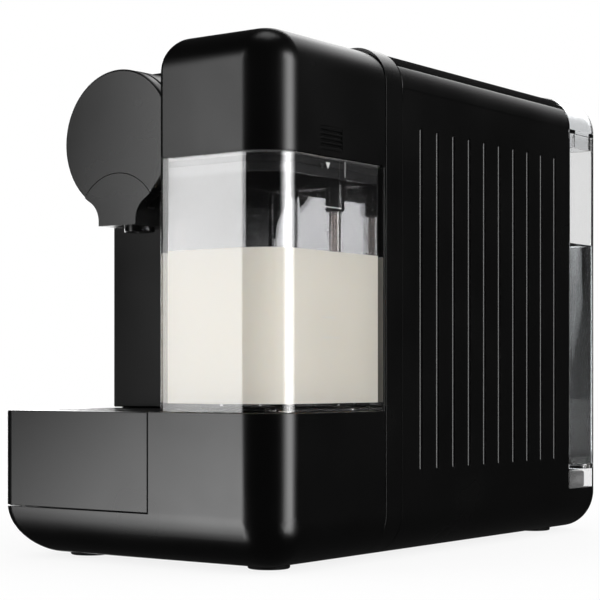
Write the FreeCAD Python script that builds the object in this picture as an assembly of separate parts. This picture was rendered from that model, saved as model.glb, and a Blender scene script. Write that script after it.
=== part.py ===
import FreeCAD, Part
import math
import os

from FreeCAD import Vector

# A capsule coffee machine with a milk container. Millimetres, +Z up, front towards -Y.
# The origin is on the table, under the middle of the machine.

# Driving dimensions of the whole machine
WIDTH = 180.0               # across the casing
DEPTH = 331.2               # front of the milk lid to the back of the water tank
HEIGHT = 264.2              # table to the top of the body
FOOT_DROP = 1.7             # table to the underside of the base
TOP_RADIUS = 20.0           # long edges at the top
BOTTOM_RADIUS = 23.0        # long edges at the bottom
CASE_WALL = 2.5             # wall of every casing
SEAM = 0.4                  # open joint between casings
SEAM_DEPTH = 1.2            # how far that joint goes in
BASE_SEAM = 26.7            # seam over the base skirt
RUN_GAP = 0.5               # air beside a part that moves
EDGE_RADIUS = 3.0           # small upright edges

# Lengths from front to back
FRONT_DEPTH = 94.5          # milk module and drip drawer
BAND_DEPTH = 15.6           # band between the front and the body
TANK_DEPTH = 36.2           # water tank

# Base, feet and band
BASE_TOP = 76.9             # cup platform and floor of the milk module
BASE_FRONT_RADIUS = 26.0    # lower front edge
FRONT_RADIUS = 20.0         # upright edge at the front right
DRAWER_RADIUS = 8.0         # upright edge at the front left
FOOT_RADIUS = 10.5
FOOT_POCKET = 4.0           # depth of the foot's pocket in the base
FOOT_EDGE = 0.8
FOOT_INSET = 30.5           # foot to the side of the machine
FOOT_FRONT = 36.0           # front feet to the front
FOOT_REAR = 25.5            # rear feet to the back
BAND_WALL = 6.0             # band, outside to inside
WEB = 3.0                   # wall of the band behind the milk module
VENT_WIDTH = 4.0            # cooling slots under the body
VENT_LENGTH = 40.0
VENT_PITCH = 10.0
VENT_COUNT = 7
GLAND_RADIUS = 8.0          # grommet of the mains inlet
GLAND_BORE = 3.6
GLAND_LIP = 2.5
GLAND_INSET = 50.0          # grommet to the side of the machine

# Side panels, shoulders and top cover
PANEL_DROP = 20.8           # seam between side panel and shoulder, below the top
SHOULDER_DROP = 8.8         # seam between shoulder and top cover, below the top
COVER_STEP = 0.6            # top cover below the shoulder's edge
GROOVE_COUNT = 10           # upright grooves in each side panel
GROOVE_PITCH = 16.5
GROOVE_RADIUS = 1.6
GROOVE_DEPTH = 1.3
GROOVE_FOOT = 18.1          # grooves' lower ends over the base seam
GROOVE_HEAD = 18.4          # grooves' upper ends below the panel's top
BULKHEAD = 3.0              # wall in front of the water tank

# Controls
PANEL_LENGTH = 36.0         # inlay with the drink buttons
PANEL_INLAY = 1.0
PANEL_SETBACK = 14.0        # inlay to the band
PANEL_MARGIN = 22.0         # inlay to the right side
BUTTON_COLUMNS = 3
BUTTON_ROWS = 2
BUTTON_LENGTH = 10.0
BUTTON_SPACING = 5.0        # between two buttons
BUTTON_BORDER = 4.5         # inlay beside the outer buttons
BUTTON_RADIUS = 3.0
BUTTON_PROUD = 0.5
BUTTON_FLANGE = 1.2         # collar that keeps a button in
BUTTON_COLLAR = 0.75        # collar beyond the button
BUTTON_TRAVEL = 1.5
BUTTON_STEM = 5.0           # collar to the board's switch
BOARD = 1.6
POST_RADIUS = 3.0
BOARD_CLEARANCE = 4.5       # board to the brew frame

# Milk module
MILK_WIDTH = 71.2
MILK_WALL = 4.0             # clear wall of the milk container
MILK_FLOOR = 4.5
LID_HEIGHT = 60.5           # milk lid over the container's rim
LID_STEP = 2.5              # top of the lid below the top of the body
LID_FRONT_RADIUS = 18.0
LID_SIDE_RADIUS = 18.0
LID_LEFT_RADIUS = 9.0
LID_REBATE = 0.6            # shadow gap under the lid, over the container's rim
REBATE_DEPTH = 0.8
PLUG_DEPTH = 9.5            # lid insert down into the container
PLUG_GAP = 0.4
PLUG_WALL = 2.0
SEAL_HEIGHT = 3.0           # sealing ring round the plug
SEAL_DEPTH = 1.2
RAIL_WIDTH = 3.0            # guide rails under the container
RAIL_HEIGHT = 1.6
RAIL_SETBACK = 30.0
RAIL_INSET = 16.0
STRAW_RADIUS = 3.0          # suction tube
STRAW_BORE = 2.0
STRAW_INSET = 20.0          # tube to the outside of the container, right and back
STRAW_LIFT = 4.0            # tube's end over the floor
STRAW_SOCKET = 4.8          # radius of the socket under the lid that holds the tube
STRAW_SOCKET_DROP = 23.4
FROTH_RADIUS = 11.0
FROTH_HEIGHT = 30.0
RELEASE_LENGTH = 18.0       # ribbed release buttons in the lid's sides
RELEASE_HEIGHT = 11.4
RELEASE_SETBACK = 37.5
RELEASE_LIFT = 3.4          # button over the lid's seam
RELEASE_FLANGE = 1.5
RELEASE_COLLAR = 1.0        # collar beyond the button
RIB_COUNT = 4
RIB_RADIUS = 0.7
DOCK_LIFT = 10.0            # docking nozzles over the lid's seam
DOCK_PITCH = 16.0
DOCK_RADIUS = 3.0
DOCK_BORE = 1.6
DOCK_REACH = 4.0            # nozzle into the lid
DOCK_PLATE = 2.0

# Drip drawer
DRAWER_STEP = 6.8           # drawer's right end to the milk module
DRAWER_WALL = 2.5
DRAWER_FRONT = 4.0
GRID_THICKNESS = 3.2
GRID_LEDGE = 1.3
GRID_RIM = 5.0
GRID_BAR = 3.0
GRID_SLOT = 4.0
BIN_LENGTH = 74.0           # capsule bin behind the drip tray
BIN_WALL = 1.8
BIN_DROP = 5.0              # bin's rim below the cup platform
RUNNER_WIDTH = 4.0

# Brew head
HEAD_DROP = 46.6            # axis of the round head below the top
HEAD_SHIFT = 1.9            # head to the right of the middle between left side and milk module
HEAD_RADIUS = 36.75
HEAD_SETBACK = 28.0         # disc behind the front of the machine
DISC_THICKNESS = 6.0
DISC_EDGE = 1.2
DISC_GAP = 2.0              # shadow gap between disc, drum and the wall behind
COLLAR_RADIUS = 31.0        # joins disc and drum inside that gap
DRUM_RADIUS = 36.9
DRUM_WALL = 2.5
NICHE_STEP = 6.5            # wall behind the cup
ARC_RADIUS = 28.4           # parting arc between disc and spout
ARC_DROP = 45.4             # centre of that arc below the head's axis
NECK_WIDTH = 25.6           # spout
NECK_FILLET = 12.0
NECK_DROP = 44.4            # spout's end below the head's axis
NECK_LENGTH = 32.0
NOZZLE_RADIUS = 8.0
NOZZLE_DROP = 2.5           # nozzle below the spout's cover
NOZZLE_HEIGHT = 16.0
NOZZLE_BORE = 2.0
NOZZLE_SETBACK = 18.0       # nozzle behind the disc's face
CHANNEL_RADIUS = 3.0        # coffee and milk tubes
CHANNEL_BORE = 2.0
CHANNEL_BEND = 5.0
CHANNEL_SPACING = 8.0

# Lever and brewing mechanism
LEVER_WIDTH = 60.0
LEVER_DROP = 2.2            # lever below the top of the body
ARM_THICKNESS = 5.0
HUB_RADIUS = 14.0
HUB_LENGTH = 10.0           # boss at each end of the hub
HUB_LIP = 8.0               # edge of the hub's cover over the hinge
CROWN_LENGTH = 10.0         # stretch where the round drum turns into the flat arm
PIN_RADIUS = 3.0            # hinge pin
PIN_FIT = 0.05
CAM_THICKNESS = 3.0
CAM_MARGIN = 7.0            # metal round the cam slot
FRAME_WALL = 3.0
FRAME_GAP = 0.5             # cam to frame
FRAME_DROP = 32.4           # lower edge of the frame below the head's axis
FRAME_TAIL = 26.0           # frame behind the hinge
SEAT_RADIUS = 21.5
SEAT_THICKNESS = 8.0
SEAT_FLANGE = 2.5
SEAT_RECESS = 20.0          # radius of the capsule's bed
SEAT_DEPTH = 4.0
CAPSULE_GAP = 26.0          # capsule's length between seat and piston
PISTON_RADIUS = 23.0
PISTON_LENGTH = 22.0
PISTON_PIN_RADIUS = 2.5
PISTON_PIN_BACK = 12.0      # cross pin behind the piston's face
PISTON_STROKE = 14.0
PISTON_SEAL = 1.5
LEVER_SWING = 60.0          # degrees
HINGE_BEHIND_PIN = 4.0      # hinge behind the cross pin, lever closed
CHUTE_WALL = 1.6
CHUTE_LENGTH = 52.0

# Water tank
TANK_LID_HEIGHT = 23.0      # tank's rim below the top
TANK_WALL = 2.8
TANK_FLOOR = 41.0           # inside floor above the table
TANK_FLOOR_THICKNESS = 3.0
TANK_EDGE = 5.0
LID_PLUG = 7.5              # tank lid down into the tank
LID_PLUG_SETBACK = 6.0      # room in front of the plug for the lid's swing
LID_WALL = 2.4
LID_PIVOT = 2.8             # hinge axis inside the rear corner of the lid
LUG_WIDTH = 8.0
LUG_SPACING = 110.0
LUG_PIN_RADIUS = 1.3
PEDESTAL_HEIGHT = 8.0       # raised block that the tank stands over
PEDESTAL_WIDTH = 120.0
PEDESTAL_GAP = 3.0
VALVE_RADIUS = 9.0
VALVE_BORE = 6.0
VALVE_REACH = 6.0           # valve tube below the tank's floor
VALVE_HEAD = 8.0
VALVE_HEAD_HEIGHT = 2.5
VALVE_STEM = 2.0
SOCKET_GAP = 0.4
SOCKET_WALL = 2.6

# Water system inside the body
WATER_INSET = 43.0          # outlet, meter, pump and heater stand in one line, this far from the right side
PUMP_GAP = 30.0             # pump's coil behind the heater
PUMP_LENGTH = 92.0
PUMP_COIL = 46.0
PUMP_COIL_LENGTH = 48.0
PUMP_RADIUS = 13.0
PUMP_LIFT = 26.0            # lower end of the pump over the base's floor
MOUNT_RADIUS = 6.0          # rubber mounts under the coil
MOUNT_HEIGHT = 8.0
HEATER_WIDTH = 66.0
HEATER_DEPTH = 34.0
HEATER_HEIGHT = 86.0
HEATER_SETBACK = 8.0
HEATER_RIB = 3.0            # cooling ribs cast on the heater
HEATER_RIB_PITCH = 12.0
HEATER_RIB_COUNT = 6
HEATER_OUTLET = 20.0        # hot outlet to the left of the heater's middle
TOWER_RADIUS = 5.0
METER_RADIUS = 14.0
METER_HEIGHT = 18.0
METER_SETBACK = 22.0        # meter in front of the water tank
METER_BOSS = 1.0            # boss round the meter's inlet
VALVE_BLOCK = 18.0          # steam valve
VALVE_COIL_RADIUS = 11.0
VALVE_COIL_HEIGHT = 24.0
NIPPLE = 6.0                # stub that a hose is pushed over
HOSE_RADIUS = 3.5
HOSE_BORE = 2.0
HOSE_BEND = 9.0

# Places worked out from the dimensions above
FAR = DEPTH + WIDTH
X_RIGHT = WIDTH / 2
X_LEFT = -X_RIGHT
Y_FRONT = -DEPTH / 2
Y_REAR = DEPTH / 2
Y_BAND = Y_FRONT + FRONT_DEPTH
Y_BODY = Y_BAND + BAND_DEPTH
Y_TANK = Y_REAR - TANK_DEPTH
Y_NICHE = Y_BAND - NICHE_STEP
X_BLOCK = X_RIGHT - MILK_WIDTH
X_DRAWER = X_BLOCK - DRAWER_STEP
X_WEB = X_DRAWER + CASE_WALL
LID_TOP = HEIGHT - LID_STEP
FLOOR_Z = FOOT_DROP + CASE_WALL
CEILING_Z = HEIGHT - CASE_WALL
PANEL_TOP = HEIGHT - PANEL_DROP
SHOULDER_TOP = HEIGHT - SHOULDER_DROP
LID_SEAM = LID_TOP - LID_HEIGHT
TANK_SEAM = HEIGHT - TANK_LID_HEIGHT

HEAD_X = (X_LEFT + X_BLOCK) / 2 + HEAD_SHIFT
HEAD_Z = HEIGHT - HEAD_DROP
NECK_BOTTOM = HEAD_Z - NECK_DROP
FRAME_LOW = HEAD_Z - FRAME_DROP
Y_HEAD = Y_FRONT + HEAD_SETBACK
Y_DISC_BACK = Y_HEAD + DISC_THICKNESS
Y_DRUM = Y_DISC_BACK + DISC_GAP
ARC_Z = HEAD_Z - ARC_DROP
Y_NOZZLE = Y_HEAD + NOZZLE_SETBACK
NOZZLE_TOP = NECK_BOTTOM - NOZZLE_DROP + NOZZLE_HEIGHT

LEVER_TOP = HEIGHT - LEVER_DROP
HINGE_Z = LEVER_TOP - HUB_RADIUS
Y_SEAT = Y_BAND + SEAT_THICKNESS
Y_PISTON = Y_SEAT + CAPSULE_GAP
Y_PISTON_PIN = Y_PISTON + PISTON_PIN_BACK
Y_HINGE = Y_PISTON_PIN + HINGE_BEHIND_PIN
CAM_OUTER = LEVER_WIDTH / 2
CAM_INNER = CAM_OUTER - CAM_THICKNESS
FRAME_INNER = CAM_OUTER + FRAME_GAP
FRAME_OUTER = FRAME_INNER + FRAME_WALL
STROKE_PER_RADIAN = PISTON_STROKE / math.radians(LEVER_SWING)

DOCK_X = X_BLOCK + MILK_WIDTH / 2
DOCK_Z = LID_SEAM + DOCK_LIFT
Y_DOCK_BACK = Y_BAND + WEB + DOCK_PLATE
X_MILK_RUN = HEAD_X + FRAME_INNER - CHANNEL_RADIUS - RUN_GAP
Y_MILK_RUN = Y_DOCK_BACK + 2 * CHANNEL_BEND
X_STRAW = X_RIGHT - STRAW_INSET
Y_STRAW = Y_BAND - STRAW_INSET

PANEL_START = HEAD_X + FRAME_OUTER + BOARD_CLEARANCE + 2 * POST_RADIUS
PANEL_WIDTH = X_RIGHT - PANEL_MARGIN - PANEL_START
BUTTON_ROOM = PANEL_WIDTH - 2 * BUTTON_BORDER + BUTTON_SPACING
BUTTON_PITCH_X = BUTTON_ROOM / BUTTON_COLUMNS
BUTTON_WIDTH = BUTTON_PITCH_X - BUTTON_SPACING
BUTTON_PITCH_Y = BUTTON_LENGTH + BUTTON_SPACING
X_PANEL = PANEL_START + PANEL_WIDTH / 2
Y_PANEL = Y_BODY + PANEL_SETBACK + PANEL_LENGTH / 2
BOARD_Z = CEILING_Z - BUTTON_FLANGE - BUTTON_STEM - BUTTON_TRAVEL

WATER_X = X_RIGHT - WATER_INSET
Y_VALVE = Y_REAR - TANK_DEPTH / 2
DECK_TOP = BASE_SEAM
VALVE_LOW = TANK_FLOOR - TANK_FLOOR_THICKNESS - VALVE_REACH
PUMP_LOW = FLOOR_Z + PUMP_LIFT
PUMP_HIGH = PUMP_LOW + PUMP_LENGTH
COIL_LOW = (PUMP_LOW + PUMP_HIGH - PUMP_COIL_LENGTH) / 2
Y_METER = Y_TANK - METER_SETBACK
Y_HEATER = Y_BODY + HEATER_SETBACK + HEATER_DEPTH / 2
Y_PUMP = Y_HEATER + HEATER_DEPTH / 2 + PUMP_GAP + PUMP_COIL / 2
HEATER_TOP = DOCK_Z - VALVE_BLOCK / 2
HEATER_LOW = HEATER_TOP - HEATER_HEIGHT
SOCKET_FLOOR = VALVE_LOW - RUN_GAP
SOCKET_LOW = SOCKET_FLOOR - SOCKET_WALL
METER_Z = FLOOR_Z + METER_HEIGHT / 2
PRESSURE_Z = PUMP_HIGH + NIPPLE + 2 * HOSE_BEND
X_STEAM = DOCK_X + DOCK_PITCH / 2


def block(x0, x1, y0, y1, z0, z1):
    """A box between two corners."""
    return Part.makeBox(x1 - x0, y1 - y0, z1 - z0, Vector(x0, y0, z0))


def slab(z0, z1):
    """Everything between two heights."""
    return block(-FAR, FAR, -FAR, FAR, z0, z1)


def rod(radius, start, end):
    """A round bar between two points."""
    start = Vector(*start)
    along = Vector(*end) - start
    return Part.makeCylinder(radius, along.Length, start, along)


def head_rod(radius, y0, y1):
    """A round bar along the head's axis."""
    return rod(radius, (HEAD_X, y0, HEAD_Z), (HEAD_X, y1, HEAD_Z))


def lies_at(edge, places):
    """True where an edge's middle lies at the given x, y or z."""
    middle = edge.CenterOfMass
    return all(abs(getattr(middle, axis) - place) < 1e-4 for axis, place in places.items())


def rounded(solid, *rounds):
    """Round edges that may share corners. Each round is a radius and the place of its edges."""
    document = FreeCAD.newDocument()
    base = document.addObject("Part::Feature", "Base")
    base.Shape = solid
    fillet = document.addObject("Part::Fillet", "Fillet")
    fillet.Base = base
    fillet.Edges = [
        (number, radius, radius)
        for radius, places in rounds
        for number, edge in enumerate(solid.Edges, 1)
        if lies_at(edge, places)
    ]
    document.recompute()
    result = fillet.Shape.Solids[0].copy()
    FreeCAD.closeDocument(document.Name)
    return result


def upright_block(x0, x1, y0, y1, z0, z1, radius):
    """A box with its four upright edges rounded."""
    solid = block(x0, x1, y0, y1, z0, z1)
    return rounded(solid, *[(radius, {"x": x, "y": y}) for x in (x0, x1) for y in (y0, y1)])


def body_section(y0, y1, inset=0.0):
    """The body's rounded section, drawn in by inset, from y0 to y1."""
    half = WIDTH / 2 - inset
    low = FOOT_DROP + inset
    high = HEIGHT - inset
    solid = block(-half, half, y0, y1, low, high)
    return rounded(
        solid,
        *[(TOP_RADIUS - inset, {"x": x, "z": high}) for x in (-half, half)],
        *[(BOTTOM_RADIUS - inset, {"x": x, "z": low}) for x in (-half, half)],
    )


def mirrored(shape):
    """The same piece on the machine's other side."""
    return shape.mirror(Vector(0, 0, 0), Vector(1, 0, 0))


def tube_path(points, bend):
    """Straight runs through the points, joined by arcs."""
    points = [Vector(*point) for point in points]
    edges = []
    start = points[0]
    for before, corner, after in zip(points, points[1:], points[2:]):
        back = (before - corner).normalize()
        ahead = (after - corner).normalize()
        half = back.getAngle(ahead) / 2
        first = corner + back * (bend / math.tan(half))
        last = corner + ahead * (bend / math.tan(half))
        middle = corner + (back + ahead).normalize() * (bend / math.sin(half) - bend)
        edges.append(Part.LineSegment(start, first).toShape())
        edges.append(Part.Arc(first, middle, last).toShape())
        start = last
    edges.append(Part.LineSegment(start, points[-1]).toShape())
    return Part.Wire(edges)


def tube(points, radius, bore, bend):
    """A bent tube with its bore."""
    path = tube_path(points, bend)
    start = Vector(*points[0])
    along = Vector(*points[1]) - start
    walls = [
        path.makePipeShell([Part.Wire(Part.Circle(start, along, size).toShape())], True, False)
        for size in (radius, bore)
    ]
    return walls[0].cut(walls[1])


# Base and casing

def front_shape(inset):
    """Outside of the front base, drawn in at the front, the sides and below."""
    x0 = X_LEFT + inset
    x1 = X_RIGHT - inset
    y0 = Y_FRONT + inset
    z0 = FOOT_DROP + inset
    return rounded(
        block(x0, x1, y0, Y_BAND, z0, BASE_TOP),
        (BOTTOM_RADIUS - inset, {"x": x0, "z": z0}),
        (BOTTOM_RADIUS - inset, {"x": x1, "z": z0}),
        (BASE_FRONT_RADIUS - inset, {"y": y0, "z": z0}),
        (FRONT_RADIUS - inset, {"x": x1, "y": y0}),
        (DRAWER_RADIUS - inset, {"x": x0, "y": y0}),
    )


def foot_places():
    """Places of the four feet."""
    x = X_RIGHT - FOOT_INSET
    return [(side * x, y) for side in (-1, 1) for y in (Y_FRONT + FOOT_FRONT, Y_REAR - FOOT_REAR)]


def with_foot_pockets(base, outside):
    """Thicken the floor over each foot and sink the foot's pocket into it."""
    roof = FOOT_DROP + FOOT_POCKET
    for x, y in foot_places():
        boss = rod(FOOT_RADIUS + CASE_WALL, (x, y, FOOT_DROP), (x, y, roof + CASE_WALL))
        base = base.fuse(boss.common(outside))
        base = base.cut(rod(FOOT_RADIUS, (x, y, 0), (x, y, roof)))
    return base


def rail_places():
    """The two guide rails' middles, across the milk module."""
    return (X_BLOCK + RAIL_INSET, X_RIGHT - RAIL_INSET - FRONT_RADIUS / 2)


def rail(x, clearance):
    """One guide rail on the base, or its groove in the container when it has clearance."""
    half = RAIL_WIDTH / 2 + clearance
    front = Y_FRONT + RAIL_SETBACK - clearance
    return block(x - half, x + half, front, Y_BAND - RUN_GAP, BASE_TOP, BASE_TOP + RAIL_HEIGHT + clearance)


def front_base():
    """Front of the base: box under the milk module, and the deck that the drawer slides on."""
    outside = front_shape(0)
    bay = block(X_LEFT, X_DRAWER, Y_FRONT, Y_BAND, BASE_SEAM, BASE_TOP)
    hollow = front_shape(CASE_WALL).common(slab(0, BASE_TOP - CASE_WALL))
    deck = block(X_LEFT, X_WEB, Y_FRONT, Y_BAND, BASE_SEAM - CASE_WALL, BASE_TOP)
    base = outside.cut(bay).cut(hollow.cut(deck))
    base = with_foot_pockets(base, outside.cut(bay))
    base = base.fuse([rail(x, 0) for x in rail_places()])
    runners = [
        block(x, x + RUNNER_WIDTH, Y_FRONT + BASE_FRONT_RADIUS, Y_BAND, BASE_SEAM, BASE_SEAM + SEAM)
        for x in (X_LEFT + BOTTOM_RADIUS, X_DRAWER - BOTTOM_RADIUS)
    ]
    return base.fuse(runners).removeSplitter()


def feet():
    """Four rubber feet, each a short plug in its pocket."""
    plugs = []
    for x, y in foot_places():
        plug = rod(FOOT_RADIUS, (x, y, 0), (x, y, FOOT_DROP + FOOT_POCKET))
        rim = [edge for edge in plug.Edges if lies_at(edge, {"z": 0}) and edge.Closed]
        plugs.append(plug.makeFillet(FOOT_EDGE, rim))
    return Part.makeCompound(plugs)


def towers():
    """Middles of the two posts that carry the heater."""
    reach = HEATER_WIDTH / 2 - 2 * TOWER_RADIUS
    return [(WATER_X + side * reach, Y_HEATER) for side in (-1, 1)]


def pump_posts():
    """Middles of the two posts under the pump's mounts, at opposite corners of its coil."""
    reach = PUMP_COIL / 2 - MOUNT_RADIUS
    return [(WATER_X + side * reach, Y_PUMP + side * reach) for side in (-1, 1)]


def chassis_base():
    """Pan under the body, with the deck and pedestal for the water tank at the back."""
    outside = rounded(body_section(Y_BODY, Y_REAR), (TANK_EDGE, {"y": Y_REAR})).common(slab(0, BASE_SEAM))
    hollow = body_section(Y_BODY + CASE_WALL, Y_REAR - CASE_WALL, CASE_WALL)
    deck = block(X_LEFT, X_RIGHT, Y_TANK - BULKHEAD, Y_REAR, BASE_SEAM - CASE_WALL, BASE_SEAM)
    pan = outside.cut(hollow.cut(deck))
    pan = with_foot_pockets(pan, outside)
    margin = TANK_WALL + PEDESTAL_GAP
    pedestal = upright_block(
        -PEDESTAL_WIDTH / 2, PEDESTAL_WIDTH / 2, Y_TANK + margin, Y_REAR - margin,
        DECK_TOP, DECK_TOP + PEDESTAL_HEIGHT, EDGE_RADIUS,
    )
    posts = [rod(TOWER_RADIUS, (x, y, FLOOR_Z), (x, y, HEATER_LOW)) for x, y in towers()]
    posts += [rod(TOWER_RADIUS, (x, y, FLOOR_Z), (x, y, COIL_LOW - MOUNT_HEIGHT)) for x, y in pump_posts()]
    pan = pan.fuse([pedestal] + posts)
    socket = rod(VALVE_RADIUS + SOCKET_GAP + SOCKET_WALL, (WATER_X, Y_VALVE, FLOOR_Z),
                 (WATER_X, Y_VALVE, DECK_TOP + PEDESTAL_HEIGHT))
    gland = rod(GLAND_RADIUS, gland_point(Y_REAR - CASE_WALL), gland_point(Y_REAR))
    middle = (Y_BODY + Y_TANK) / 2
    vents = []
    for number in range(VENT_COUNT):
        y = middle + (number - (VENT_COUNT - 1) / 2) * VENT_PITCH
        vents.append(block(-VENT_LENGTH / 2, VENT_LENGTH / 2, y - VENT_WIDTH / 2, y + VENT_WIDTH / 2,
                           FOOT_DROP, FLOOR_Z))
    return pan.cut([socket, gland] + vents).removeSplitter()


def gland_point(y):
    """A point on the axis of the mains inlet."""
    return (GLAND_INSET - X_RIGHT, y, (FOOT_DROP + BASE_SEAM) / 2)


def cord_gland():
    """Rubber grommet in the mains inlet, with a lip behind the wall."""
    outside = gland_point(Y_REAR)
    inside = gland_point(Y_REAR - CASE_WALL)
    end = gland_point(Y_REAR - CASE_WALL - GLAND_LIP)
    grommet = rod(GLAND_RADIUS, inside, outside)
    lip = rod(GLAND_RADIUS + GLAND_LIP / 2, end, inside)
    bore = rod(GLAND_BORE, end, outside)
    return grommet.fuse(lip).cut(bore).removeSplitter()


def lever_slot(low):
    """Slot in the top of the body that the lever lies in."""
    half = LEVER_WIDTH / 2 + RUN_GAP
    return block(HEAD_X - half, HEAD_X + half, Y_FRONT, Y_HINGE + HUB_RADIUS + RUN_GAP, low, HEIGHT)


def ring_frame():
    """Band round the body, with a wall behind the milk module and an opening behind the cup."""
    skin = body_section(Y_BAND + SEAM, Y_BODY - SEAM)
    core = body_section(Y_BAND, Y_BODY, SEAM_DEPTH)
    opening = body_section(Y_BAND, Y_BODY, BAND_WALL)
    web = block(X_WEB, X_RIGHT, Y_BAND, Y_BAND + WEB, FOOT_DROP, HEIGHT)
    ring = skin.fuse(core).cut(opening.cut(web))
    return ring.cut([lever_slot(HEIGHT - 2 * BAND_WALL)] + dock_nozzles(DOCK_RADIUS)).removeSplitter()


def niche_panel():
    """Wall behind the cup, as high as the milk lid, with the head's opening and the lever's notch."""
    side = block(X_LEFT, X_BLOCK - RUN_GAP, Y_NICHE, Y_BAND, BASE_TOP + RUN_GAP, LID_TOP)
    panel = body_section(Y_NICHE, Y_BAND).common(side)
    opening = head_rod(DRUM_RADIUS - DRUM_WALL, Y_NICHE, Y_BAND)
    return panel.cut([opening, lever_slot(LEVER_TOP - ARM_THICKNESS - RUN_GAP)]).removeSplitter()


def casing(z0, z1, inset=0.0):
    """The body's wall between two heights, from the band to the water tank."""
    shell = body_section(Y_BODY, Y_TANK, inset).cut(body_section(Y_BODY, Y_TANK, CASE_WALL))
    return shell.common(slab(z0, z1))


def right_side_panel():
    """Side panel with its row of upright half-round grooves."""
    panel = casing(BASE_SEAM, PANEL_TOP).common(block(0, X_RIGHT, Y_BODY, Y_TANK, 0, HEIGHT))
    middle = (Y_BODY + Y_TANK) / 2
    x = X_RIGHT + GROOVE_RADIUS - GROOVE_DEPTH
    low = BASE_SEAM + GROOVE_FOOT + GROOVE_RADIUS
    high = PANEL_TOP - GROOVE_HEAD - GROOVE_RADIUS
    grooves = []
    for number in range(GROOVE_COUNT):
        y = middle + (number - (GROOVE_COUNT - 1) / 2) * GROOVE_PITCH
        grooves.append(rod(GROOVE_RADIUS, (x, y, low), (x, y, high)))
        grooves.extend(Part.makeSphere(GROOVE_RADIUS, Vector(x, y, z)) for z in (low, high))
    return panel.cut(grooves)


def left_side_panel():
    """The same panel on the left."""
    return mirrored(right_side_panel())


def shoulder_rails():
    """Left and right rails between the side panels and the top cover."""
    rails = casing(PANEL_TOP, SHOULDER_TOP)
    return Part.makeCompound(rails.Solids)


def top_cover():
    """Top of the body, a little inside the shoulders, with the lever's slot and the controls."""
    cover = casing(SHOULDER_TOP, HEIGHT, COVER_STEP)
    crown = block(X_LEFT + TOP_RADIUS, X_RIGHT - TOP_RADIUS, Y_BODY, Y_TANK, CEILING_Z, HEIGHT)
    cover = cover.fuse(crown)
    recess = panel_block(HEIGHT - BUTTON_PROUD - PANEL_INLAY, HEIGHT)
    holes = [button_block(x, y, CEILING_Z, HEIGHT, RUN_GAP / 2) for x, y in button_places()]
    posts = [rod(POST_RADIUS, (x, y, BOARD_Z), (x, y, CEILING_Z)) for x, y in board_posts()]
    return cover.cut([lever_slot(SHOULDER_TOP), recess] + holes).fuse(posts).removeSplitter()


def rear_bulkhead():
    """Wall that closes the body in front of the water tank."""
    return body_section(Y_TANK - BULKHEAD, Y_TANK, CASE_WALL).common(slab(BASE_SEAM, HEIGHT))


# Controls

def panel_block(z0, z1):
    """The control inlay's outline between two heights."""
    return upright_block(X_PANEL - PANEL_WIDTH / 2, X_PANEL + PANEL_WIDTH / 2, Y_PANEL - PANEL_LENGTH / 2,
                         Y_PANEL + PANEL_LENGTH / 2, z0, z1, BUTTON_RADIUS)


def button_block(x, y, z0, z1, clearance):
    """One button's outline, or its hole when it has clearance."""
    half_x = BUTTON_WIDTH / 2 + clearance
    half_y = BUTTON_LENGTH / 2 + clearance
    return upright_block(x - half_x, x + half_x, y - half_y, y + half_y, z0, z1, BUTTON_RADIUS)


def button_places():
    """Middles of the drink buttons, row by row."""
    return [
        (X_PANEL + (column - (BUTTON_COLUMNS - 1) / 2) * BUTTON_PITCH_X,
         Y_PANEL + (row - (BUTTON_ROWS - 1) / 2) * BUTTON_PITCH_Y)
        for row in range(BUTTON_ROWS)
        for column in range(BUTTON_COLUMNS)
    ]


def board_posts():
    """Posts under the top cover at the board's corners."""
    x = PANEL_WIDTH / 2 + POST_RADIUS
    y = PANEL_LENGTH / 2 + POST_RADIUS
    return [(X_PANEL + i * x, Y_PANEL + j * y) for i in (-1, 1) for j in (-1, 1)]


def control_panel():
    """Inlay round the drink buttons."""
    top = HEIGHT - BUTTON_PROUD
    holes = [button_block(x, y, top - PANEL_INLAY, top, RUN_GAP / 2) for x, y in button_places()]
    return panel_block(top - PANEL_INLAY, top).cut(holes)


def drink_button(x, y):
    """One drink button: cap, collar and stem."""
    cap = button_block(x, y, CEILING_Z, HEIGHT, 0)
    collar = button_block(x, y, CEILING_Z - BUTTON_FLANGE, CEILING_Z, BUTTON_COLLAR)
    high = CEILING_Z - BUTTON_FLANGE
    stem = rod(BUTTON_RADIUS, (x, y, high - BUTTON_STEM), (x, y, high))
    return cap.fuse([collar, stem]).removeSplitter()


def control_board():
    """Circuit board under the buttons, screwed to the posts."""
    x = PANEL_WIDTH / 2 + 2 * POST_RADIUS
    y = PANEL_LENGTH / 2 + 2 * POST_RADIUS
    return block(X_PANEL - x, X_PANEL + x, Y_PANEL - y, Y_PANEL + y, BOARD_Z - BOARD, BOARD_Z)


# Brew head and spout

def brew_housing():
    """Lower half of the round head, closed at the front."""
    drum = head_rod(DRUM_RADIUS, Y_DRUM, Y_NICHE)
    hollow = head_rod(DRUM_RADIUS - DRUM_WALL, Y_DRUM + DRUM_WALL, Y_NICHE)
    outlet = rod(NOZZLE_RADIUS, (HEAD_X, Y_NOZZLE, NECK_BOTTOM), (HEAD_X, Y_NOZZLE, HEAD_Z))
    return drum.cut([hollow, outlet]).common(slab(0, HEAD_Z))


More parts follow.
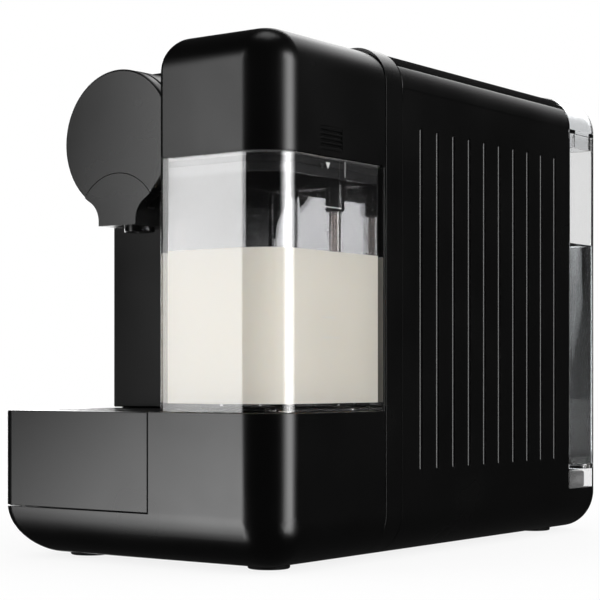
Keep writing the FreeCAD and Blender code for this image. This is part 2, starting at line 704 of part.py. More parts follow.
def neck_outline():
    """Spout seen from the front: parting arc above, head's circle and fillets at the sides."""
    half = NECK_WIDTH / 2
    arc = ARC_RADIUS - SEAM
    tip_z = (arc ** 2 - HEAD_RADIUS ** 2 + ARC_DROP ** 2) / (2 * ARC_DROP)
    tip_x = math.sqrt(arc ** 2 - tip_z ** 2)
    centre_x = half + NECK_FILLET
    centre_z = -math.sqrt((HEAD_RADIUS + NECK_FILLET) ** 2 - centre_x ** 2)
    share = HEAD_RADIUS / (HEAD_RADIUS + NECK_FILLET)

    def at(x, z):
        return Vector(HEAD_X + x, Y_HEAD, z)

    def side(sign):
        tip = at(sign * tip_x, ARC_Z + tip_z)
        touch = at(sign * centre_x * share, HEAD_Z + centre_z * share)
        mean = (tip + touch) * 0.5 - at(0, HEAD_Z)
        rim = at(0, HEAD_Z) + mean.normalize() * HEAD_RADIUS
        centre = at(sign * centre_x, HEAD_Z + centre_z)
        foot = at(sign * half, centre.z)
        inner = centre + ((touch + foot) * 0.5 - centre).normalize() * NECK_FILLET
        low = at(sign * half, NECK_BOTTOM)
        return tip, rim, touch, inner, foot, low

    left = side(-1)
    right = side(1)
    edges = [Part.Arc(left[0], at(0, ARC_Z + arc), right[0])]
    for tip, rim, touch, inner, foot, low in (left, right):
        edges += [Part.Arc(tip, rim, touch), Part.Arc(touch, inner, foot), Part.LineSegment(foot, low)]
    edges.append(Part.LineSegment(left[-1], right[-1]))
    return Part.Face(Part.Wire(Part.__sortEdges__([edge.toShape() for edge in edges])))


def spout_neck():
    """Cover of the spout: front flush with the disc, body under the drum."""
    front = neck_outline().extrude(Vector(0, Y_DRUM - Y_HEAD, 0))
    half = NECK_WIDTH / 2
    body = block(HEAD_X - half, HEAD_X + half, Y_DRUM, Y_HEAD + NECK_LENGTH, NECK_BOTTOM, HEAD_Z)
    body = body.cut(head_rod(DRUM_RADIUS, Y_DRUM, Y_NICHE))
    nozzle = rod(NOZZLE_RADIUS, (HEAD_X, Y_NOZZLE, NECK_BOTTOM), (HEAD_X, Y_NOZZLE, HEAD_Z))
    return front.fuse(body).cut(nozzle).removeSplitter()


def dispensing_nozzle():
    """Nozzle under the head with one bore for coffee and one for milk."""
    low = NOZZLE_TOP - NOZZLE_HEIGHT
    body = rod(NOZZLE_RADIUS, (HEAD_X, Y_NOZZLE, low), (HEAD_X, Y_NOZZLE, NOZZLE_TOP))
    bores = [
        rod(NOZZLE_BORE, (x, Y_NOZZLE, low), (x, Y_NOZZLE, NOZZLE_TOP))
        for x in (HEAD_X - CHANNEL_SPACING / 2, HEAD_X + CHANNEL_SPACING / 2)
    ]
    return body.cut(bores)


def coffee_channel():
    """Tube from the capsule seat forward and down into the nozzle."""
    x = HEAD_X - CHANNEL_SPACING / 2
    points = [(x, Y_BAND, HEAD_Z), (x, Y_NOZZLE, HEAD_Z), (x, Y_NOZZLE, NOZZLE_TOP)]
    return tube(points, CHANNEL_RADIUS, CHANNEL_BORE, CHANNEL_BEND)


def milk_channel():
    """Tube from the milk dock, through the brew frame's side, into the nozzle."""
    x_dock = DOCK_X - DOCK_PITCH / 2
    x_nozzle = HEAD_X + CHANNEL_SPACING / 2
    points = [
        (x_dock, Y_DOCK_BACK, DOCK_Z), (x_dock, Y_MILK_RUN, DOCK_Z), (X_MILK_RUN, Y_MILK_RUN, DOCK_Z),
        (X_MILK_RUN, Y_NOZZLE, DOCK_Z), (x_nozzle, Y_NOZZLE, DOCK_Z), (x_nozzle, Y_NOZZLE, NOZZLE_TOP),
    ]
    return tube(points, CHANNEL_RADIUS, CHANNEL_BORE, CHANNEL_BEND)


def dock_nozzles(radius):
    """The two docking nozzles as plain bars: steam on the right, milk on the left."""
    return [
        rod(radius, (x, Y_BAND - DOCK_REACH, DOCK_Z), (x, Y_DOCK_BACK, DOCK_Z))
        for x in (DOCK_X - DOCK_PITCH / 2, DOCK_X + DOCK_PITCH / 2)
    ]


def milk_dock():
    """Plate behind the band's wall with the two nozzles that reach into the milk lid."""
    half_x = DOCK_PITCH / 2 + 2 * DOCK_RADIUS
    half_z = 2 * DOCK_RADIUS
    plate = block(DOCK_X - half_x, DOCK_X + half_x, Y_BAND + WEB, Y_DOCK_BACK,
                  DOCK_Z - half_z, DOCK_Z + half_z)
    return plate.fuse(dock_nozzles(DOCK_RADIUS)).cut(dock_nozzles(DOCK_BORE)).removeSplitter()


# Lever and brewing mechanism

def lever_disc():
    """Round front of the lever, cut by the parting arc over the spout."""
    disc = head_rod(HEAD_RADIUS, Y_HEAD, Y_DISC_BACK)
    rim = [edge for edge in disc.Edges if lies_at(edge, {"y": Y_HEAD}) and edge.Closed]
    disc = disc.makeFillet(DISC_EDGE, rim)
    return disc.cut(rod(ARC_RADIUS, (HEAD_X, Y_HEAD, ARC_Z), (HEAD_X, Y_DISC_BACK, ARC_Z)))


def crown_section(y, flat):
    """Section of the lever over the drum: the drum's arc, or flat as the arm is."""
    half = LEVER_WIDTH / 2
    low = HEAD_Z + math.sqrt((DRUM_RADIUS - DRUM_WALL / 2) ** 2 - half ** 2)
    edge = LEVER_TOP if flat else HEAD_Z + math.sqrt(DRUM_RADIUS ** 2 - half ** 2)
    left = Vector(HEAD_X - half, y, edge)
    right = Vector(HEAD_X + half, y, edge)
    top = Part.LineSegment(left, right)
    if not flat:
        top = Part.Arc(left, Vector(HEAD_X, y, HEAD_Z + DRUM_RADIUS), right)
    low_right = Vector(HEAD_X + half, y, low)
    low_left = Vector(HEAD_X - half, y, low)
    return Part.Wire([
        top.toShape(), Part.LineSegment(right, low_right).toShape(),
        Part.LineSegment(low_right, low_left).toShape(), Part.LineSegment(low_left, left).toShape(),
    ])


def lever_shell():
    """Upper half of the drum, the arm that it blends into, and the hub on the hinge pin."""
    rear = Y_NICHE - DISC_GAP
    drum = head_rod(DRUM_RADIUS, Y_DRUM, rear)
    collar = head_rod(COLLAR_RADIUS, Y_DISC_BACK, Y_DRUM)
    front = rear - CROWN_LENGTH
    blend = CROWN_LENGTH / 4
    crown = Part.makeLoft(
        [crown_section(front, False), crown_section(front + blend, False),
         crown_section(rear - blend, True), crown_section(rear, True)], True, False)
    hollow = head_rod(DRUM_RADIUS - DRUM_WALL, Y_DRUM + DRUM_WALL, rear)
    shell = drum.fuse([collar, crown]).cut(hollow).common(slab(HEAD_Z + SEAM, LEVER_TOP))
    half = LEVER_WIDTH / 2
    arm = block(HEAD_X - half, HEAD_X + half, rear, Y_HINGE, LEVER_TOP - ARM_THICKNESS, LEVER_TOP)
    return shell.fuse([arm, lever_hub()]).removeSplitter()


def hinge_rod(radius, reach):
    """A round bar along the lever's hinge, to the same reach on both sides of the head."""
    return rod(radius, (HEAD_X - reach, Y_HINGE, HINGE_Z), (HEAD_X + reach, Y_HINGE, HINGE_Z))


def lever_hub():
    """Two bosses on the hinge pin, and the curved cover between them."""
    inner = CAM_INNER - HUB_LENGTH
    bosses = hinge_rod(HUB_RADIUS, CAM_INNER).cut(hinge_rod(HUB_RADIUS, inner))
    cover = hinge_rod(HUB_RADIUS, inner).cut(hinge_rod(HUB_RADIUS - ARM_THICKNESS, inner))
    cover = cover.common(slab(HINGE_Z + HUB_LIP, HEIGHT))
    return bosses.fuse(cover).cut(hinge_rod(PIN_RADIUS + PIN_FIT, CAM_INNER))


def follower_point(angle):
    """Cross pin seen from the lever's hinge, at a lever angle, turned back to the closed lever."""
    y = STROKE_PER_RADIAN * angle - HINGE_BEHIND_PIN
    z = HEAD_Z - HINGE_Z
    return (y * math.cos(angle) - z * math.sin(angle), y * math.sin(angle) + z * math.cos(angle))


def cam_slot(x):
    """Slot that the cross pin follows, so that it moves evenly with the lever."""
    width = PISTON_PIN_RADIUS + RUN_GAP / 2
    steps = 8
    angles = [math.radians(LEVER_SWING) * step / steps for step in range(steps + 1)]
    small = 1e-4
    sides = ([], [])
    for angle in angles:
        y, z = follower_point(angle)
        ahead = follower_point(angle + small)
        behind = follower_point(angle - small)
        run = Vector(0, ahead[0] - behind[0], ahead[1] - behind[1]).normalize()
        across = Vector(0, -run.z, run.y) * width
        middle = Vector(x, Y_HINGE + y, HINGE_Z + z)
        sides[0].append(middle + across)
        sides[1].append(middle - across)
    edges = []
    for side in sides:
        curve = Part.BSplineCurve()
        curve.interpolate(side)
        edges.append(curve.toShape())
    for first, last, inward in ((sides[0][0], sides[1][0], 1), (sides[0][-1], sides[1][-1], -1)):
        along = (sides[0][inward] if inward == 1 else sides[0][-2]) - first
        tip = (first + last) * 0.5 - along.normalize() * width
        edges.append(Part.Arc(first, tip, last).toShape())
    return Part.Face(Part.Wire(Part.__sortEdges__(edges))).extrude(Vector(CAM_THICKNESS, 0, 0))


def lever_cams():
    """Two sector plates on the hub whose slots drive the piston's cross pin."""
    start = follower_point(0)
    end = follower_point(math.radians(LEVER_SWING))
    reach = max(math.hypot(*start), math.hypot(*end)) + CAM_MARGIN
    spread = math.atan2(CAM_MARGIN, math.hypot(*start))
    first = math.atan2(start[1], start[0]) - spread
    last = math.atan2(end[1], end[0]) + spread
    boss = HUB_RADIUS - ARM_THICKNESS - RUN_GAP
    plates = []
    for x in (HEAD_X - CAM_OUTER, HEAD_X + CAM_INNER):
        centre = Vector(x, Y_HINGE, HINGE_Z)
        rim = [
            centre + Vector(0, reach * math.cos(angle), reach * math.sin(angle))
            for angle in (first, (first + last) / 2, last)
        ]
        edges = [Part.LineSegment(centre, rim[0]), Part.Arc(*rim), Part.LineSegment(rim[2], centre)]
        outline = Part.Wire([edge.toShape() for edge in edges])
        sector = Part.Face(outline).extrude(Vector(CAM_THICKNESS, 0, 0))
        plate = sector.fuse(rod(boss, (x, Y_HINGE, HINGE_Z), (x + CAM_THICKNESS, Y_HINGE, HINGE_Z)))
        bore = rod(PIN_RADIUS + PIN_FIT, (x, Y_HINGE, HINGE_Z), (x + CAM_THICKNESS, Y_HINGE, HINGE_Z))
        plates.append(plate.cut([bore, cam_slot(x)]).removeSplitter())
    return Part.makeCompound(plates)


def hinge_pin():
    """Steel pin that the lever turns on, held in the brew frame's sides."""
    return hinge_rod(PIN_RADIUS, FRAME_OUTER)


def brew_frame():
    """Front wall and two sides that carry the seat, the hinge pin and the piston's guide slots."""
    wall = SEAT_THICKNESS - SEAT_FLANGE
    high = HINGE_Z + 2 * PIN_RADIUS
    front_high = LEVER_TOP - ARM_THICKNESS - 2 * SEAT_FLANGE
    front = block(HEAD_X - FRAME_OUTER, HEAD_X + FRAME_OUTER, Y_BAND, Y_BAND + wall, FRAME_LOW, front_high)
    frame = front.cut(head_rod(SEAT_RADIUS, Y_BAND, Y_BAND + wall))
    low = Y_PISTON_PIN
    for x in (HEAD_X - FRAME_OUTER, HEAD_X + FRAME_INNER):
        side = block(x, x + FRAME_WALL, Y_BAND, Y_HINGE + FRAME_TAIL, FRAME_LOW, high)
        guide = block(x, x + FRAME_WALL, low, low + PISTON_STROKE, HEAD_Z - PISTON_PIN_RADIUS - PIN_FIT,
                      HEAD_Z + PISTON_PIN_RADIUS + PIN_FIT)
        ends = [rod(PISTON_PIN_RADIUS + PIN_FIT, (x, y, HEAD_Z), (x + FRAME_WALL, y, HEAD_Z))
                for y in (low, low + PISTON_STROKE)]
        frame = frame.fuse(side.cut([guide] + ends))
    radius = CHANNEL_RADIUS + RUN_GAP
    x_in = HEAD_X + FRAME_INNER
    x_out = HEAD_X + FRAME_OUTER
    milk_holes = [
        rod(radius, (X_MILK_RUN, Y_BAND, DOCK_Z), (X_MILK_RUN, Y_BAND + wall, DOCK_Z)),
        rod(radius, (x_in, Y_MILK_RUN, DOCK_Z), (x_out, Y_MILK_RUN, DOCK_Z)),
    ]
    return frame.cut([hinge_pin()] + milk_holes).removeSplitter()


def capsule_seat():
    """Front half of the brew chamber, with the capsule's bed and the coffee outlet."""
    body = head_rod(SEAT_RADIUS, Y_BAND, Y_SEAT)
    flange = head_rod(SEAT_RADIUS + SEAT_FLANGE, Y_SEAT - SEAT_FLANGE, Y_SEAT)
    bed = head_rod(SEAT_RECESS, Y_SEAT - SEAT_DEPTH, Y_SEAT)
    x = HEAD_X - CHANNEL_SPACING / 2
    outlet = rod(CHANNEL_BORE, (x, Y_BAND, HEAD_Z), (x, Y_SEAT, HEAD_Z))
    return body.fuse(flange).cut([bed, outlet]).removeSplitter()


def brew_piston():
    """Piston that presses the capsule on its seat, with the water needle in its face."""
    body = head_rod(PISTON_RADIUS, Y_PISTON, Y_PISTON + PISTON_LENGTH)
    groove = head_rod(SEAT_RECESS, Y_PISTON, Y_PISTON + PISTON_SEAL)
    groove = groove.cut(head_rod(SEAT_RECESS - SEAT_DEPTH, Y_PISTON, Y_PISTON + PISTON_SEAL))
    tip = Vector(HEAD_X, Y_PISTON - SEAT_DEPTH, HEAD_Z)
    needle = Part.makeCone(0, CHANNEL_BORE, SEAT_DEPTH, tip, Vector(0, 1, 0))
    return body.cut([groove, piston_pin()]).fuse(needle)


def piston_pin():
    """Cross pin of the piston, through the cam slots into the frame's guides."""
    return rod(PISTON_PIN_RADIUS, (HEAD_X - FRAME_OUTER, Y_PISTON_PIN, HEAD_Z),
               (HEAD_X + FRAME_OUTER, Y_PISTON_PIN, HEAD_Z))


def piston_seal():
    """Rubber ring in the piston's face."""
    ring = head_rod(SEAT_RECESS, Y_PISTON, Y_PISTON + PISTON_SEAL)
    return ring.cut(head_rod(SEAT_RECESS - SEAT_DEPTH, Y_PISTON, Y_PISTON + PISTON_SEAL))


def capsule_chute():
    """Shaft that a used capsule falls down, behind the niche wall, into the bin."""
    high = FRAME_LOW
    low = BASE_TOP + RUN_GAP
    outer = block(HEAD_X - FRAME_OUTER, HEAD_X + FRAME_OUTER, Y_BAND, Y_BAND + CHUTE_LENGTH, low, high)
    inner = block(HEAD_X - FRAME_OUTER + CHUTE_WALL, HEAD_X + FRAME_OUTER - CHUTE_WALL, Y_BAND + CHUTE_WALL,
                  Y_BAND + CHUTE_LENGTH - CHUTE_WALL, low, high)
    return outer.cut(inner)


# Drip drawer

def tray_block(inset, rear, z0, z1):
    """The drip tray's outline as far back as rear, drawn in by inset at the front and sides."""
    x0 = X_LEFT + inset
    y0 = Y_FRONT + inset
    solid = block(x0, X_DRAWER - SEAM - inset, y0, rear, z0, z1)
    return rounded(solid, (DRAWER_RADIUS - inset, {"x": x0, "y": y0}))


def shelf_x():
    """Left and right edge of the drawer's shelf behind the tray."""
    return (X_LEFT + BAND_WALL + RUN_GAP, X_DRAWER - SEAM)


def drip_drawer():
    """Drip tray with the drawer's front, and the shelf behind it that carries the capsule bin."""
    low = BASE_SEAM + SEAM
    y0 = Y_BAND - RUN_GAP
    rear = Y_NICHE - RUN_GAP
    tray = tray_block(0, y0, low, BASE_TOP)
    tray = tray.cut(tray_block(DRAWER_FRONT, rear - GRID_LEDGE, low + DRAWER_WALL, BASE_TOP))
    tray = tray.cut(tray_block(DRAWER_FRONT - GRID_LEDGE, rear, BASE_TOP - GRID_THICKNESS, BASE_TOP))
    x0, x1 = shelf_x()
    shelf = block(x0, x1, y0, y0 + RUN_GAP + BIN_LENGTH, low, low + DRAWER_WALL)
    return tray.fuse(shelf).removeSplitter()


def capsule_bin():
    """Open box for used capsules on the drawer's shelf."""
    x0, x1 = shelf_x()
    low = BASE_SEAM + SEAM + DRAWER_WALL
    high = BASE_TOP - BIN_DROP
    outer = upright_block(x0 + RUN_GAP, x1 - RUN_GAP, Y_BAND, Y_BAND + BIN_LENGTH, low, high, EDGE_RADIUS)
    inner = upright_block(
        x0 + RUN_GAP + BIN_WALL, x1 - RUN_GAP - BIN_WALL, Y_BAND + BIN_WALL, Y_BAND + BIN_LENGTH - BIN_WALL,
        low + BIN_WALL, high, EDGE_RADIUS - BIN_WALL)
    return outer.cut(inner)


def drip_grid():
    """Grid that the cup stands on, lying on the ledge in the tray."""
    inset = DRAWER_FRONT - GRID_LEDGE + SEAM
    low = BASE_TOP - GRID_THICKNESS
    rear = Y_NICHE - RUN_GAP - SEAM
    grid = tray_block(inset, rear, low, BASE_TOP)
    x0 = X_LEFT + inset + GRID_RIM
    x1 = X_DRAWER - SEAM - inset - GRID_RIM
    y0 = Y_FRONT + inset + GRID_RIM
    y1 = rear - GRID_RIM
    pitch = GRID_BAR + GRID_SLOT
    count = int((x1 - x0 + GRID_BAR) / pitch)
    start = (x0 + x1 - count * pitch + GRID_BAR) / 2
    middle = (y0 + y1) / 2
    half = GRID_BAR / 2
    slots = []
    for number in range(count):
        x = start + number * pitch
        slots.append(block(x, x + GRID_SLOT, y0, middle - half, low, BASE_TOP))
        slots.append(block(x, x + GRID_SLOT, middle + half, y1, low, BASE_TOP))
    return grid.cut(slots)


# Milk module

def milk_block(inset, z0, z1):
    """The milk module's outline, drawn in by inset."""
    x0 = X_BLOCK + inset
    x1 = X_RIGHT - inset
    y0 = Y_FRONT + inset
    y1 = Y_BAND - RUN_GAP - inset
    small = max(EDGE_RADIUS - inset / 2, EDGE_RADIUS / 4)
    return rounded(
        block(x0, x1, y0, y1, z0, z1),
        (FRONT_RADIUS - inset, {"x": x1, "y": y0}),
        *[(small, {"x": x, "y": y}) for x, y in ((x0, y0), (x0, y1), (x1, y1))],
    )


def milk_tank():
    """Clear milk container, with grooves under its floor for the guide rails."""
    tank = milk_block(0, BASE_TOP, LID_SEAM)
    tank = tank.cut(milk_block(MILK_WALL, BASE_TOP + MILK_FLOOR, LID_SEAM))
    grooves = [rail(x, RUN_GAP) for x in rail_places()]
    return tank.cut(grooves)


def lid_block(inset, low):
    """The milk lid's rounded outside, drawn in by inset."""
    x0 = X_BLOCK + inset
    x1 = X_RIGHT - inset
    y0 = Y_FRONT + inset
    high = LID_TOP - inset
    return rounded(
        block(x0, x1, y0, Y_BAND - RUN_GAP - inset, low, high),
        (FRONT_RADIUS - inset, {"x": x1, "y": y0}),
        (EDGE_RADIUS - inset / 2, {"x": x0, "y": y0}),
        (LID_FRONT_RADIUS - inset, {"y": y0, "z": high}),
        (LID_SIDE_RADIUS - inset, {"x": x1, "z": high}),
        (LID_LEFT_RADIUS - inset, {"x": x0, "z": high}),
    )


def dock_slots(y0, y1, low):
    """Slots, open below, that let the lid come off the docking nozzles upwards or forwards."""
    radius = DOCK_RADIUS + RUN_GAP
    slots = []
    for x in (DOCK_X - DOCK_PITCH / 2, DOCK_X + DOCK_PITCH / 2):
        slots.append(rod(radius, (x, y0, DOCK_Z), (x, y1, DOCK_Z)))
        slots.append(block(x - radius, x + radius, y0, y1, low, DOCK_Z))
    return slots


def milk_lid():
    """Tall hollow lid of the milk container, with windows for the release buttons."""
    low = LID_SEAM
    lid = lid_block(0, low).cut(lid_block(CASE_WALL, low))
    windows = [release_block(RUN_GAP / 2, X_RIGHT - CASE_WALL, X_RIGHT),
               release_block(RUN_GAP / 2, X_BLOCK, X_BLOCK + CASE_WALL)]
    high = low + LID_REBATE
    rebate = milk_block(0, low, high).cut(milk_block(REBATE_DEPTH, low, high))
    rear = Y_BAND - RUN_GAP
    return lid.cut(windows + [rebate] + dock_slots(rear - CASE_WALL, rear, low)).removeSplitter()


def lid_insert():
    """Floor of the lid: plate inside the lid and plug down into the container."""
    plate = milk_block(CASE_WALL, LID_SEAM, LID_SEAM + PLUG_WALL)
    step = MILK_WALL + PLUG_GAP
    plug = milk_block(step, LID_SEAM - PLUG_DEPTH, LID_SEAM)
    hollow = milk_block(step + PLUG_WALL, LID_SEAM - PLUG_DEPTH, LID_SEAM)
    low = (X_STRAW, Y_STRAW, LID_SEAM - STRAW_SOCKET_DROP)
    high = (X_STRAW, Y_STRAW, LID_SEAM + PLUG_WALL)
    socket = rod(STRAW_SOCKET, low, high)
    straw = rod(STRAW_RADIUS, low, high)
    rear = Y_BAND - RUN_GAP - CASE_WALL
    slots = dock_slots(Y_BAND - DOCK_REACH - RUN_GAP, rear, LID_SEAM)
    return plate.fuse([plug.cut(hollow), socket]).cut([straw, seal_ring()] + slots).removeSplitter()


def seal_ring():
    """Sealing ring round the plug."""
    step = MILK_WALL + PLUG_GAP
    low = LID_SEAM - PLUG_DEPTH / 2
    ring = milk_block(step - PLUG_GAP / 2, low, low + SEAL_HEIGHT)
    return ring.cut(milk_block(step + SEAL_DEPTH, low, low + SEAL_HEIGHT))


def froth_unit():
    """Frother on the lid's floor: round chamber over the suction tube."""
    low = LID_SEAM + PLUG_WALL
    chamber = rod(FROTH_RADIUS, (X_STRAW, Y_STRAW, low), (X_STRAW, Y_STRAW, low + FROTH_HEIGHT))
    dome = Part.makeSphere(FROTH_RADIUS, Vector(X_STRAW, Y_STRAW, low + FROTH_HEIGHT))
    bore = rod(STRAW_BORE, (X_STRAW, Y_STRAW, low), (X_STRAW, Y_STRAW, low + FROTH_HEIGHT))
    return chamber.fuse(dome).cut(bore).removeSplitter()


def suction_tube():
    """Straight tube from the frother down to the container's floor."""
    low = (X_STRAW, Y_STRAW, BASE_TOP + MILK_FLOOR + STRAW_LIFT)
    high = (X_STRAW, Y_STRAW, LID_SEAM + PLUG_WALL)
    return rod(STRAW_RADIUS, low, high).cut(rod(STRAW_BORE, low, high))


def release_block(clearance, x0, x1):
    """A release button's outline between two places across the lid."""
    y0 = Y_FRONT + RELEASE_SETBACK - clearance
    y1 = Y_FRONT + RELEASE_SETBACK + RELEASE_LENGTH + clearance
    z0 = LID_SEAM + RELEASE_LIFT - clearance
    z1 = LID_SEAM + RELEASE_LIFT + RELEASE_HEIGHT + clearance
    solid = block(x0, x1, y0, y1, z0, z1)
    return rounded(solid, *[(EDGE_RADIUS / 2, {"y": y, "z": z}) for y in (y0, y1) for z in (z0, z1)])


def release_button(face, inward):
    """Ribbed button flush in the lid's side wall, with a collar behind the wall."""
    wall = face + inward * CASE_WALL
    back = wall + inward * RELEASE_FLANGE
    button = release_block(0, min(face, wall), max(face, wall))
    collar = release_block(RELEASE_COLLAR, min(wall, back), max(wall, back))
    pitch = RELEASE_HEIGHT / (RIB_COUNT + 1)
    y0 = Y_FRONT + RELEASE_SETBACK
    ribs = []
    for number in range(RIB_COUNT):
        z = LID_SEAM + RELEASE_LIFT + (number + 1) * pitch
        ribs.append(rod(RIB_RADIUS, (face, y0, z), (face, y0 + RELEASE_LENGTH, z)))
    return button.fuse(collar).cut(ribs).removeSplitter()


# Water tank

def tank_block(inset, z0, z1):
    """The water tank's outline between two heights, drawn in by inset."""
    rear = Y_REAR - inset
    solid = body_section(Y_TANK + SEAM + inset, rear, inset)
    corner = max(TANK_EDGE - inset, TANK_EDGE / 4)
    return rounded(solid, (corner, {"y": rear})).common(slab(z0, z1))


def lug_places():
    """Middles of the tank's two hinge lugs."""
    return (-LUG_SPACING / 2, LUG_SPACING / 2)


def pivot(x):
    """A point on the tank lid's hinge axis."""
    return (x, Y_REAR - LID_PIVOT, TANK_SEAM + SEAM + LID_PIVOT)


def tank_lug(x):
    """A hinge lug on the tank's rear wall, with its bore."""
    x0 = x - LUG_WIDTH / 2
    x1 = x + LUG_WIDTH / 2
    y0 = Y_REAR - TANK_WALL
    eye_radius = LID_PIVOT - SEAM / 2
    eye = rod(eye_radius, pivot(x0), pivot(x1))
    leg = block(x0, x1, y0, Y_REAR - LID_PIVOT + eye_radius, TANK_SEAM, pivot(x)[2])
    return eye.fuse(leg).cut(rod(LUG_PIN_RADIUS + PIN_FIT, pivot(x0), pivot(x1)))


def water_tank():
    """Clear tank with its floor, skirt, outlet tube and hinge lugs."""
    tank = tank_block(0, BASE_SEAM, TANK_SEAM)
    tank = tank.cut(tank_block(TANK_WALL, TANK_FLOOR, TANK_SEAM))
    tank = tank.cut(tank_block(TANK_WALL, BASE_SEAM, TANK_FLOOR - TANK_FLOOR_THICKNESS))
    outlet = rod(VALVE_RADIUS, (WATER_X, Y_VALVE, VALVE_LOW), (WATER_X, Y_VALVE, TANK_FLOOR))
    bore = rod(VALVE_BORE, (WATER_X, Y_VALVE, VALVE_LOW), (WATER_X, Y_VALVE, TANK_FLOOR))
    tank = tank.fuse([outlet] + [tank_lug(x) for x in lug_places()]).cut(bore)
    return tank.removeSplitter()


def tank_valve():
    """Poppet that closes the tank's outlet from inside."""
    high = TANK_FLOOR + VALVE_HEAD_HEIGHT
    head = rod(VALVE_HEAD, (WATER_X, Y_VALVE, TANK_FLOOR), (WATER_X, Y_VALVE, high))
    stem = rod(VALVE_STEM, (WATER_X, Y_VALVE, VALVE_LOW), (WATER_X, Y_VALVE, TANK_FLOOR))
    return head.fuse(stem).removeSplitter()


def lid_plug(inset):
    """The tank lid's plug as a solid, drawn in by inset."""
    step = TANK_WALL + PLUG_GAP + inset
    front = Y_TANK + SEAM + step + LID_PLUG_SETBACK
    solid = tank_block(step, TANK_SEAM - LID_PLUG, TANK_SEAM + SEAM + LID_WALL)
    return solid.common(block(X_LEFT, X_RIGHT, front, Y_REAR, 0, HEIGHT))


def tank_lid():
    """Clear lid that continues the body's rounded top and hinges at the back of the tank."""
    low = TANK_SEAM + SEAM
    lid = tank_block(0, low, HEIGHT).cut(tank_block(LID_WALL, low, HEIGHT))
    flange = tank_block(0, low, low + LID_WALL)
    rim = flange.fuse(lid_plug(0)).cut(lid_plug(LID_WALL))
    corner = block(X_LEFT, X_RIGHT, Y_REAR - LID_PIVOT, Y_REAR, low, low + LID_PIVOT)
    barrel = rod(LID_PIVOT, pivot(X_LEFT + TOP_RADIUS), pivot(X_RIGHT - TOP_RADIUS))
    half = LUG_WIDTH / 2 + RUN_GAP / 2
    swing = 2 * LID_PIVOT
    notches = [
        block(x - half, x + half, Y_REAR - swing, Y_REAR, low - SEAM, low + swing) for x in lug_places()
    ]
    pins = [rod(LUG_PIN_RADIUS, pivot(x - half), pivot(x + half)) for x in lug_places()]
    return lid.fuse(rim).cut(corner).fuse(barrel).cut(notches).fuse(pins).removeSplitter()


def tank_socket():
    """Cup in the pedestal that takes the tank's outlet tube, with a hose stub below."""
    outer = VALVE_RADIUS + SOCKET_GAP + SOCKET_WALL
    top = DECK_TOP + PEDESTAL_HEIGHT
    cup = rod(outer, (WATER_X, Y_VALVE, SOCKET_LOW), (WATER_X, Y_VALVE, top))
    inside = rod(VALVE_RADIUS + SOCKET_GAP, (WATER_X, Y_VALVE, SOCKET_FLOOR), (WATER_X, Y_VALVE, top))
    stub = rod(HOSE_BORE, (WATER_X, Y_VALVE, SOCKET_LOW - NIPPLE), (WATER_X, Y_VALVE, SOCKET_LOW))
    bore = rod(HOSE_BORE / 2, (WATER_X, Y_VALVE, SOCKET_LOW - NIPPLE), (WATER_X, Y_VALVE, SOCKET_FLOOR))
    return cup.cut(inside).fuse(stub).cut(bore).removeSplitter()


# Water system

def flow_meter():
    """Round flow meter on the base's floor, with an inlet behind and an outlet in front."""
    low = (WATER_X, Y_METER, FLOOR_Z)
    case = rod(METER_RADIUS, low, (WATER_X, Y_METER, FLOOR_Z + METER_HEIGHT))
    reach = METER_RADIUS + METER_BOSS
    boss = rod(HOSE_RADIUS, (WATER_X, Y_METER - reach, METER_Z), (WATER_X, Y_METER + reach, METER_Z))
    reach = METER_RADIUS + NIPPLE
    stub = rod(HOSE_BORE, (WATER_X, Y_METER - reach, METER_Z), (WATER_X, Y_METER + reach, METER_Z))
    return case.fuse([boss, stub]).removeSplitter()


def pump():
    """Upright vibration pump: square coil round a barrel, with a hose stub at each end."""
    barrel = rod(PUMP_RADIUS, (WATER_X, Y_PUMP, PUMP_LOW), (WATER_X, Y_PUMP, PUMP_HIGH))
    stub = rod(HOSE_BORE, (WATER_X, Y_PUMP, PUMP_LOW - NIPPLE), (WATER_X, Y_PUMP, PUMP_HIGH + NIPPLE))
    half = PUMP_COIL / 2
    coil = upright_block(WATER_X - half, WATER_X + half, Y_PUMP - half, Y_PUMP + half,
                         COIL_LOW, COIL_LOW + PUMP_COIL_LENGTH, EDGE_RADIUS)
    return coil.fuse([barrel, stub]).removeSplitter()


def pump_mounts():
    """Two rubber blocks between the posts and the pump's coil."""
    return Part.makeCompound([
        rod(MOUNT_RADIUS, (x, y, COIL_LOW - MOUNT_HEIGHT), (x, y, COIL_LOW)) for x, y in pump_posts()
    ])


def thermoblock():
    """Cast heater block on two posts, ribbed at the front, with a stub behind and one on top."""
    half_x = HEATER_WIDTH / 2
    half_y = HEATER_DEPTH / 2
    body = upright_block(WATER_X - half_x, WATER_X + half_x, Y_HEATER - half_y, Y_HEATER + half_y,
                         HEATER_LOW, HEATER_TOP, EDGE_RADIUS)
    middle = (HEATER_LOW + HEATER_TOP) / 2
    face = Y_HEATER - half_y
    grooves = []
    for number in range(HEATER_RIB_COUNT):
        z = middle + (number - (HEATER_RIB_COUNT - 1) / 2) * HEATER_RIB_PITCH
        grooves.append(block(WATER_X - half_x, WATER_X + half_x, face, face + HEATER_RIB,
                             z - HEATER_RIB, z + HEATER_RIB))
    back = Y_HEATER + half_y
    inlet = rod(HOSE_BORE, (WATER_X, back, PRESSURE_Z), (WATER_X, back + NIPPLE, PRESSURE_Z))
    x = WATER_X - HEATER_OUTLET
    outlet = rod(HOSE_BORE, (x, Y_HEATER, HEATER_TOP), (x, Y_HEATER, HEATER_TOP + NIPPLE))
    return body.cut(grooves).fuse([inlet, outlet]).removeSplitter()


